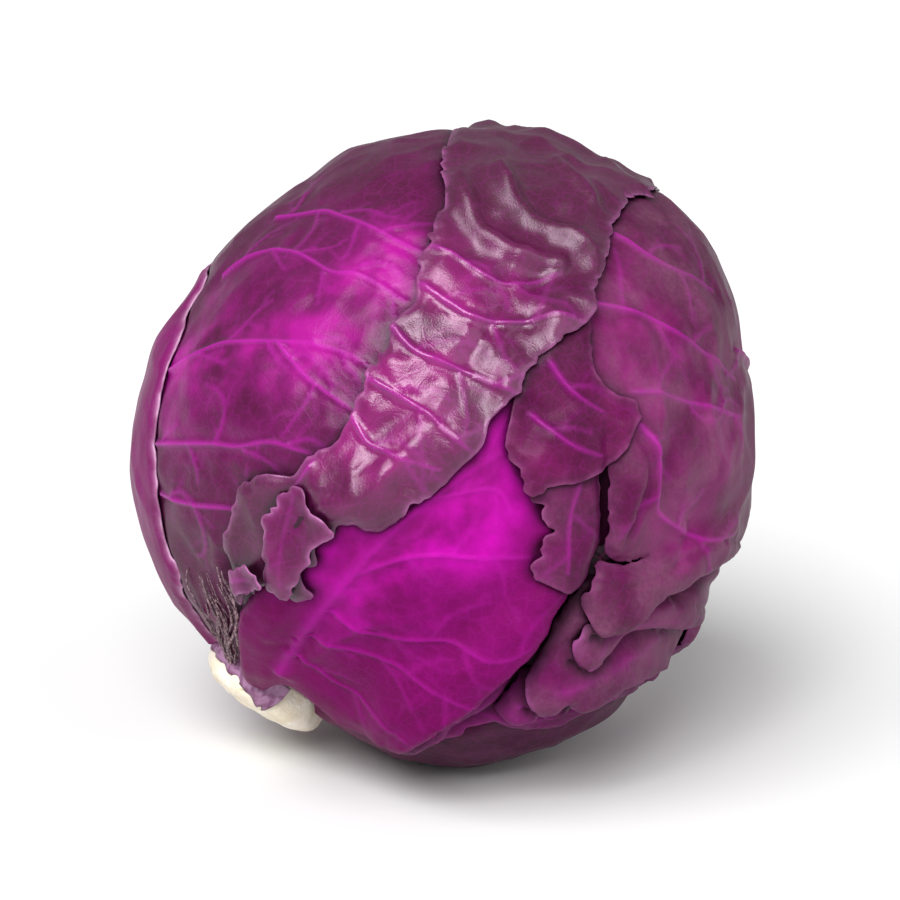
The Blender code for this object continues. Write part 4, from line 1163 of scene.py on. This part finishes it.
def leaf_material(name):
    """Red cabbage leaf: two drifting purples, a net of fine veins, pale main veins and a patchy waxy film,
    with painted light and shade over them.
    """
    tones = TONES[name]
    made = Recipe("skin_" + name)
    painted_light, flush = made.reading("painted_light"), made.reading("flush")
    tone, shade = leaf_tone(made, painted_light, flush)
    colour = made.blend(tone, tones.dark, tones.bright)
    colour = made.blend(shade, colour, tones.dark)
    net, net_share = vein_net(made)
    colour = made.blend(net_share, colour, VEIN_COLOUR)

    streaks = made.step(made.noise(2.4 * MM, 4.0, 0.8), 0.40, 0.75)
    base_share = made.scaled(made.reading("base"), made.line(streaks, 0.50, 0.45))
    colour = made.blend(base_share, colour, BASE_COLOUR)
    colour = made.blend(made.scaled(made.reading("keel"), 0.30), colour, BASE_COLOUR)
    colour = made.blend(made.scaled(made.reading("vein"), 0.75), colour, VEIN_COLOUR)

    film = waxy_film(made, tones.bloom)
    colour = made.blend(film, colour, BLOOM_COLOUR)
    # the pale rim: partly the leaf's own pale torn edge and partly a painted highlight along its lip
    rim_share, rim_colour = RIMS.get(name, (0.45, EDGE_COLOUR))
    rim_patches = made.step(made.noise(6 * MM, 3.0), 0.40, 0.62)
    rim_patches = made.scaled(made.reading("margin"), made.line(rim_patches, 0.35, 0.65))
    colour = made.blend(made.scaled(rim_patches, rim_share), colour, rim_colour)
    # painted shade under the edges of later leaves
    colour = made.blend(made.scaled(made.reading("edge_shadow"), 0.88), colour, PAINTED_SHADE_COLOUR)
    # painted shade at the bottom of the creases
    colour = made.blend(made.reading("shaded_crease"), colour, PAINTED_SHADE_COLOUR)

    rough = made.line(film, 0.34 - 0.04 * tones.gloss, 0.40)
    rough = made.maths("ADD", rough, made.scaled(made.noise(3 * MM, 3.0), 0.10))
    rough = made.maths("SUBTRACT", rough, made.scaled(painted_light, 0.24 * tones.gloss))
    skin = made.bump(made.noise(0.45 * MM, 4.0), 0.06 * MM)
    skin = made.bump(net, 0.015 * MM, skin)
    skin = made.bump(made.noise(5 * MM, 2.0, 0.3), 0.10 * MM, skin)
    shine = {"Specular Tint": GLOSS_TINT, "Specular IOR Level": 0.04 + 1.25 * tones.gloss}
    return made.finished(colour, rough, skin, **shine)


def heart_material():
    """The dense inside, painted nearly black as shade where it shows between the leaves, with a net of veins.
    """
    made = Recipe("skin_heart")
    layers = made.noise(4 * MM, 4.0, 1.5)
    colour = made.blend(made.step(layers, 0.35, 0.70), (0.012, 0.001, 0.008), (0.06, 0.005, 0.035))
    walls = made.cell_walls(5 * MM, made.warped(6 * MM, 4 * MM))
    colour = made.blend(made.step(walls, 0.06, 0.0), colour, BASE_COLOUR)
    return made.finished(colour, 0.5, made.bump(layers, 0.6 * MM))


# What mottles the cut flesh, as (the noise's size, detail and warp, its range, share, colour)
FLESH_SPOTS = (
    ((3.2 * MM, 3.0, 0.6), (0.60, 0.74), 0.65, (0.52, 0.47, 0.20)),
    ((1.1 * MM, 2.0), (0.68, 0.78), 0.5, (0.42, 0.30, 0.14)),
    ((9 * MM, 2.0), (0.50, 0.75), 0.25, (0.80, 0.52, 0.60)),
)


def stem_material():
    """Cut cream flesh with greenish-yellow spots, a pink blush and a browned rim."""
    made = Recipe("cut_flesh")
    tone = made.step(made.noise(6 * MM, 4.0), 0.35, 0.70)
    colour = made.blend(tone, (0.80, 0.71, 0.54), (0.93, 0.88, 0.76))
    for grain, span, share, spot_colour in FLESH_SPOTS:
        spots = made.step(made.noise(*grain), *span)
        colour = made.blend(made.scaled(spots, share), colour, spot_colour)
    rim_patches = made.scaled(made.reading("rim"), made.step(made.noise(2.0 * MM, 3.0), 0.38, 0.60))
    colour = made.blend(made.scaled(rim_patches, 0.55), colour, (0.34, 0.22, 0.10))
    skin = made.bump(made.noise(0.8 * MM, 4.0, 0.5), 0.18 * MM)
    skin = made.bump(made.noise(3.5 * MM, 3.0), 0.7 * MM, skin)
    return made.finished(colour, 0.62, skin)


def dry_material():
    """Dried leaf base: grey-brown with pale fibres."""
    made = Recipe("dry_leaf_base")
    streaks = made.step(made.noise(0.9 * MM, 4.0, 1.0), 0.35, 0.70)
    colour = made.blend(streaks, (0.05, 0.012, 0.028), (0.36, 0.22, 0.25))
    return made.finished(colour, 0.6, made.bump(streaks, 0.2 * MM))


def strip_material():
    """The trimmed leaf base on the stub: lilac, mauve and tan."""
    made = Recipe("trimmed_base")
    tone = made.step(made.noise(2.5 * MM, 4.0, 0.8), 0.35, 0.68)
    colour = made.blend(tone, (0.20, 0.06, 0.16), (0.42, 0.22, 0.38))
    colour = made.blend(made.scaled(made.reading("rim"), 0.8), colour, (0.07, 0.02, 0.03))
    return made.finished(colour, 0.48, made.bump(made.noise(1.2 * MM, 4.0), 0.25 * MM))


# The stub, as (share of its radius, distance from its cut end)
STEM_PROFILE = (
    (0.0, 0.0), (0.25, 0.15), (0.50, 0.1), (0.64, -0.3), (0.76, -0.9), (0.86, -1.7), (0.93, -2.7),
    (0.98, -3.9), (1.0, -5.2), (0.99, -6.6), (0.98, -8.0), (0.955, -9.6), (0.93, -11.3), (0.0, -11.3),
)
# Steps round the stub, and how far apart its rows are
STEM_TURNS = 150
STEM_ROW = 0.7 * MM


def stem_uneven(turn):
    """How far from round the stub is, as a share of its radius."""
    return 1 + 0.030 * np.cos(2 * turn + 0.6) + 0.022 * np.cos(3 * turn + 2.0) + 0.012 * np.cos(7 * turn)


def turned_stub():
    """The stub as a round, turned bmesh along +Z."""
    knots = np.array([(share * STEM_RADIUS, STEM_END + depth * MM) for share, depth in STEM_PROFILE])
    profile = [knots[0]]
    for start, end in zip(knots[:-1], knots[1:]):
        steps = max(1, round(np.linalg.norm(end - start) / STEM_ROW))
        profile += [start + (end - start) * k / steps for k in range(1, steps + 1)]
    stub = bmesh.new()
    chain = [stub.verts.new((across, 0, along)) for across, along in profile]
    edges = [stub.edges.new(pair) for pair in zip(chain[:-1], chain[1:])]
    bmesh.ops.spin(stub, geom=chain + edges, axis=(0, 0, 1), cent=(0, 0, 0), angle=2 * math.pi,
                   steps=STEM_TURNS, use_merge=True)
    bmesh.ops.remove_doubles(stub, verts=stub.verts, dist=0.01 * MM)
    bmesh.ops.recalc_face_normals(stub, faces=stub.faces)
    return stub


def add_stem(finish):
    """The cut stem: a turned stub with an uneven round, a worn rim and a rough, domed cut face."""
    stub = turned_stub()
    spots = np.array([vertex.co for vertex in stub.verts])
    turn = np.arctan2(spots[:, 1], spots[:, 0])
    across = np.hypot(spots[:, 0], spots[:, 1]) / STEM_RADIUS
    near_end = np.clip((spots[:, 2] - STEM_END + 3 * MM) / (3 * MM), 0, 1)
    uneven = ripple(spots / HEAD_RADIUS, 5, 9 * MM) - 0.5
    spots[:, :2] *= (stem_uneven(turn) + 0.03 * uneven * across)[:, None]
    tilt = 0.9 * np.cos(turn - 0.8) * across
    rough = 0.7 * (ripple(spots / HEAD_RADIUS, 6, 5 * MM) - 0.5)
    spots[:, 2] += (tilt + rough) * near_end * MM
    move_to(stub, spots)
    rim = np.exp(-(((across - 0.95) / 0.07) ** 2)) * near_end
    piece = add_piece("stub", stub, finish, {"rim": rim})
    piece.location = Vector(CENTRE)
    piece.rotation_mode = "QUATERNION"
    piece.rotation_quaternion = Vector((0, 0, 1)).rotation_difference(Vector(STEM))
    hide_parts("stem")
    return piece


# The trimmed leaf base that clasps the stub: its lower edge as (degrees round the stub from the front,
# millimetres along it)
TRIM_EDGE = (
    (-100, 74.6), (-80, 75.4), (-60, 76.2), (-40, 76.6), (-27, 77.2), (-12, 77.6), (0, 78.4), (6, 79.0),
    (9, 78.3), (11, 79.2), (14, 78.6), (17, 76.8), (19, 75.0),
)
TRIM_TOP = 70.5
TRIM_TURNS = 150
TRIM_ROWS = 16
TRIM_GAP = 0.3 * MM
TRIM_THICKNESS = 0.8 * MM


def around_stem(turn, radius, along):
    """Spots at a turn in degrees from the front, a radius and a height on the stem's axis."""
    front = unit(TOWARD - (TOWARD @ STEM) * STEM)
    aside = np.cross(front, STEM)
    turn = np.radians(turn)[..., None]
    out = np.cos(turn) * front + np.sin(turn) * aside
    return CENTRE + along[..., None] * STEM + radius[..., None] * out


def add_trim(finish):
    """A thin, ragged sheath round part of the stub, dark along its cut edge."""
    turns = np.linspace(TRIM_EDGE[0][0], TRIM_EDGE[-1][0], TRIM_TURNS)
    ends = np.interp(turns, *zip(*TRIM_EDGE))
    nicks = 0.30 * np.sin(turns * 0.21) * np.sin(turns * 0.13 + 1) + 0.08 * np.sin(turns * 0.55)
    share = np.linspace(0, 1, TRIM_ROWS)
    along = TRIM_TOP + (ends + nicks - TRIM_TOP)[:, None] * share
    turns = np.broadcast_to(turns[:, None], along.shape)
    spread = STEM_RADIUS * (1.01 - 0.02 * share**2) + 0.25 * MM * np.sin(turns * 0.35)
    inner = around_stem(turns, spread + TRIM_GAP, along * MM)
    outer = around_stem(turns, spread + TRIM_GAP + TRIM_THICKNESS * (1.1 - 0.6 * share**4), along * MM)

    sheath = bmesh.new()
    count = inner.shape[0] * inner.shape[1]
    skins = [[sheath.verts.new(spot) for spot in skin.reshape(-1, 3)] for skin in (inner, outer)]
    place = np.arange(count).reshape(inner.shape[:2])
    for row in range(TRIM_TURNS - 1):
        for column in range(TRIM_ROWS - 1):
            steps = ((0, 0), (1, 0), (1, 1), (0, 1))
            corners = [place[row + down, column + over] for down, over in steps]
            sheath.faces.new([skins[1][corner] for corner in corners])
            sheath.faces.new([skins[0][corner] for corner in reversed(corners)])
    border = [*place[:, 0], *place[-1, 1:], *place[-2::-1, -1], *place[0, -2:0:-1]]
    for first, second in zip(border, border[1:] + border[:1]):
        sheath.faces.new((skins[0][first], skins[0][second], skins[1][second], skins[1][first]))
    bmesh.ops.recalc_face_normals(sheath, faces=sheath.faces)
    rim = np.tile(np.broadcast_to(share**8, along.shape).ravel(), 2)
    piece = add_piece("trimmed_base", sheath, finish, {"rim": rim})
    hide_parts("stem")
    return piece


# The dry fibres beside the stub: the two sides of the band they lie in, from the leaf down to the stub
FIBRE_SIDES = (
    [(-68.5, -31), (-64, -40), (-58.5, -49), (-54, -55.5)],
    [(-55.5, -31), (-55.5, -40), (-53, -49), (-50, -57)],
)

# The strands, the samples along one and round it, and the samples along the band's sides
FIBRE_COUNT = 34
FIBRE_SAMPLES = 26
FIBRE_CORNERS = 6
FIBRE_TRACK = 80


def add_fibres(finish):
    """Dry strands of torn leaf base that lie over the leaves down to the stub."""
    draw = np.random.default_rng(31)
    sides = []
    for side in FIBRE_SIDES:
        curve = curve_through(side, closed=False)
        sides.append(curve[np.linspace(0, len(curve) - 1, FIBRE_TRACK).round().astype(int)])
    strands = bmesh.new()
    ring = np.arange(FIBRE_CORNERS) * 2 * math.pi / FIBRE_CORNERS
    for _ in range(FIBRE_COUNT):
        start, end = np.sort(draw.uniform(0, 1, 2))
        end = max(end, start + 0.35)
        down = np.clip(np.linspace(start, end, FIBRE_SAMPLES), 0, 1)
        across = draw.uniform(0, 1) + 0.16 * np.sin(down * draw.uniform(4, 9) + draw.uniform(0, 6))
        at = (down * (FIBRE_TRACK - 1)).round().astype(int)
        line = unit(sides[0][at] * (1 - across)[:, None] + sides[1][at] * across[:, None])
        taper = np.sin(np.pi * np.linspace(0.04, 0.96, FIBRE_SAMPLES)) ** 0.5
        thick = draw.uniform(0.20, 0.50) * MM * taper
        arch = draw.uniform(0.0, 0.8) * MM * np.sin(np.pi * np.linspace(0, 1, FIBRE_SAMPLES))
        height = stacked(line, len(LEAVES)) + 0.35 * MM + thick + arch
        aside = np.cross(line, unit(np.gradient(line, axis=0)))
        out = np.cos(ring)[:, None] * aside[:, None] + 0.6 * np.sin(ring)[:, None] * line[:, None]
        spots = (line * height[:, None])[:, None] + CENTRE + thick[:, None, None] * out
        rows = [[strands.verts.new(spot) for spot in row] for row in spots]
        for first, second in zip(rows[:-1], rows[1:]):
            for corner in range(FIBRE_CORNERS):
                after = (corner + 1) % FIBRE_CORNERS
                strands.faces.new((first[corner], first[after], second[after], second[corner]))
        strands.faces.new(rows[0])
        strands.faces.new(rows[-1])
    bmesh.ops.recalc_face_normals(strands, faces=strands.faces)
    piece = add_piece("dry_fibres", strands, finish)
    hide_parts("leaf_far_left")
    return piece


def add_heart(finish):
    heart = bmesh.new()
    bmesh.ops.create_icosphere(heart, subdivisions=7, radius=1.0)
    directions = unit(np.array([vertex.co for vertex in heart.verts]))
    radius = heart_height(directions) - floor_settle(directions)
    move_to(heart, directions * radius[:, None] + CENTRE)
    piece = add_piece("core", heart, finish)
    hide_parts("heart")
    return piece


def sunlight(name, way, spread, strength):
    """A soft, distant light from a way given to the right, up and towards the eye."""
    lamp = bpy.data.lights.new(name, "SUN")
    lamp.angle, lamp.energy = math.radians(spread), strength
    made = bpy.data.objects.new(name, lamp)
    aim = unit(way[0] * RIGHT + way[1] * UP + way[2] * TOWARD)
    made.rotation_euler = Vector(aim).to_track_quat("Z", "Y").to_euler()
    bpy.context.scene.collection.objects.link(made)


# The lights as (way to the light, spread in degrees, strength), and the rest of the studio
LIGHTS = {
    "front_light": ((-0.12, 0.42, 0.90), 30, 2.3),
    "key_light": ((-0.38, 0.66, 0.65), 40, 2.0),
    "right_light": ((0.70, 0.25, 0.67), 50, 0.8),
}
SURROUND_STRENGTH = 0.38
FLOOR_HALF = 6.0
FLOOR_DROP = 0.2 * MM


def add_studio():
    """A white floor, soft lights and a white surround."""
    floor = bmesh.new()
    bmesh.ops.create_grid(floor, x_segments=1, y_segments=1, size=FLOOR_HALF)
    for vertex in floor.verts:
        vertex.co.z = -FLOOR_DROP
    paper = Recipe("white_paper")
    tone = paper.blend(paper.noise(300 * MM), (0.75, 0.75, 0.75), (0.76, 0.76, 0.76))
    paper.fill(paper.shader, {"Base Color": tone, "Roughness": 0.9, "Specular IOR Level": 0.1})
    ground = add_piece("floor", floor, paper.material)

    for name, light in LIGHTS.items():
        sunlight(name, *light)

    world = bpy.data.worlds.new("surround")
    bpy.context.scene.world = world
    world.use_nodes = True
    white = world.node_tree.nodes["Background"].inputs
    white["Color"].default_value = (1, 1, 1, 1)
    white["Strength"].default_value = SURROUND_STRENGTH


# The photograph's frame at the head's distance, and its middle against the head's centre
FRAME_WIDTH = 225 * MM
FRAME_SHIFT = (0.75 * MM, -1.5 * MM)
SENSOR = 36.0


def add_camera():
    lens = bpy.data.cameras.new("camera")
    lens.sensor_width = SENSOR
    lens.lens = SENSOR * EYE_DISTANCE / FRAME_WIDTH
    camera = bpy.data.objects.new("camera", lens)
    aside, above = FRAME_SHIFT
    camera.location = Vector(CENTRE + TOWARD * EYE_DISTANCE + RIGHT * aside + UP * above)
    camera.rotation_euler = Vector(TOWARD).to_track_quat("Z", "Y").to_euler()
    bpy.context.scene.collection.objects.link(camera)
    bpy.context.scene.camera = camera


def main():
    for leaf in LEAVES:
        leaf["curve"] = curve_through(leaf["outline"], closed=True)
    core = add_heart(heart_material())
    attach(core, "root")
    for number, leaf in enumerate(LEAVES):
        piece = dress_leaf(number, leaf_material(leaf["name"]))
        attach(piece, "root")
    stub = add_stem(stem_material())
    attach(stub, "root")
    for piece in (add_trim(strip_material()), add_fibres(dry_material())):
        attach(piece, "root")
    add_studio()
    add_camera()
    bpy.context.scene.view_settings.view_transform = "Standard"


main()
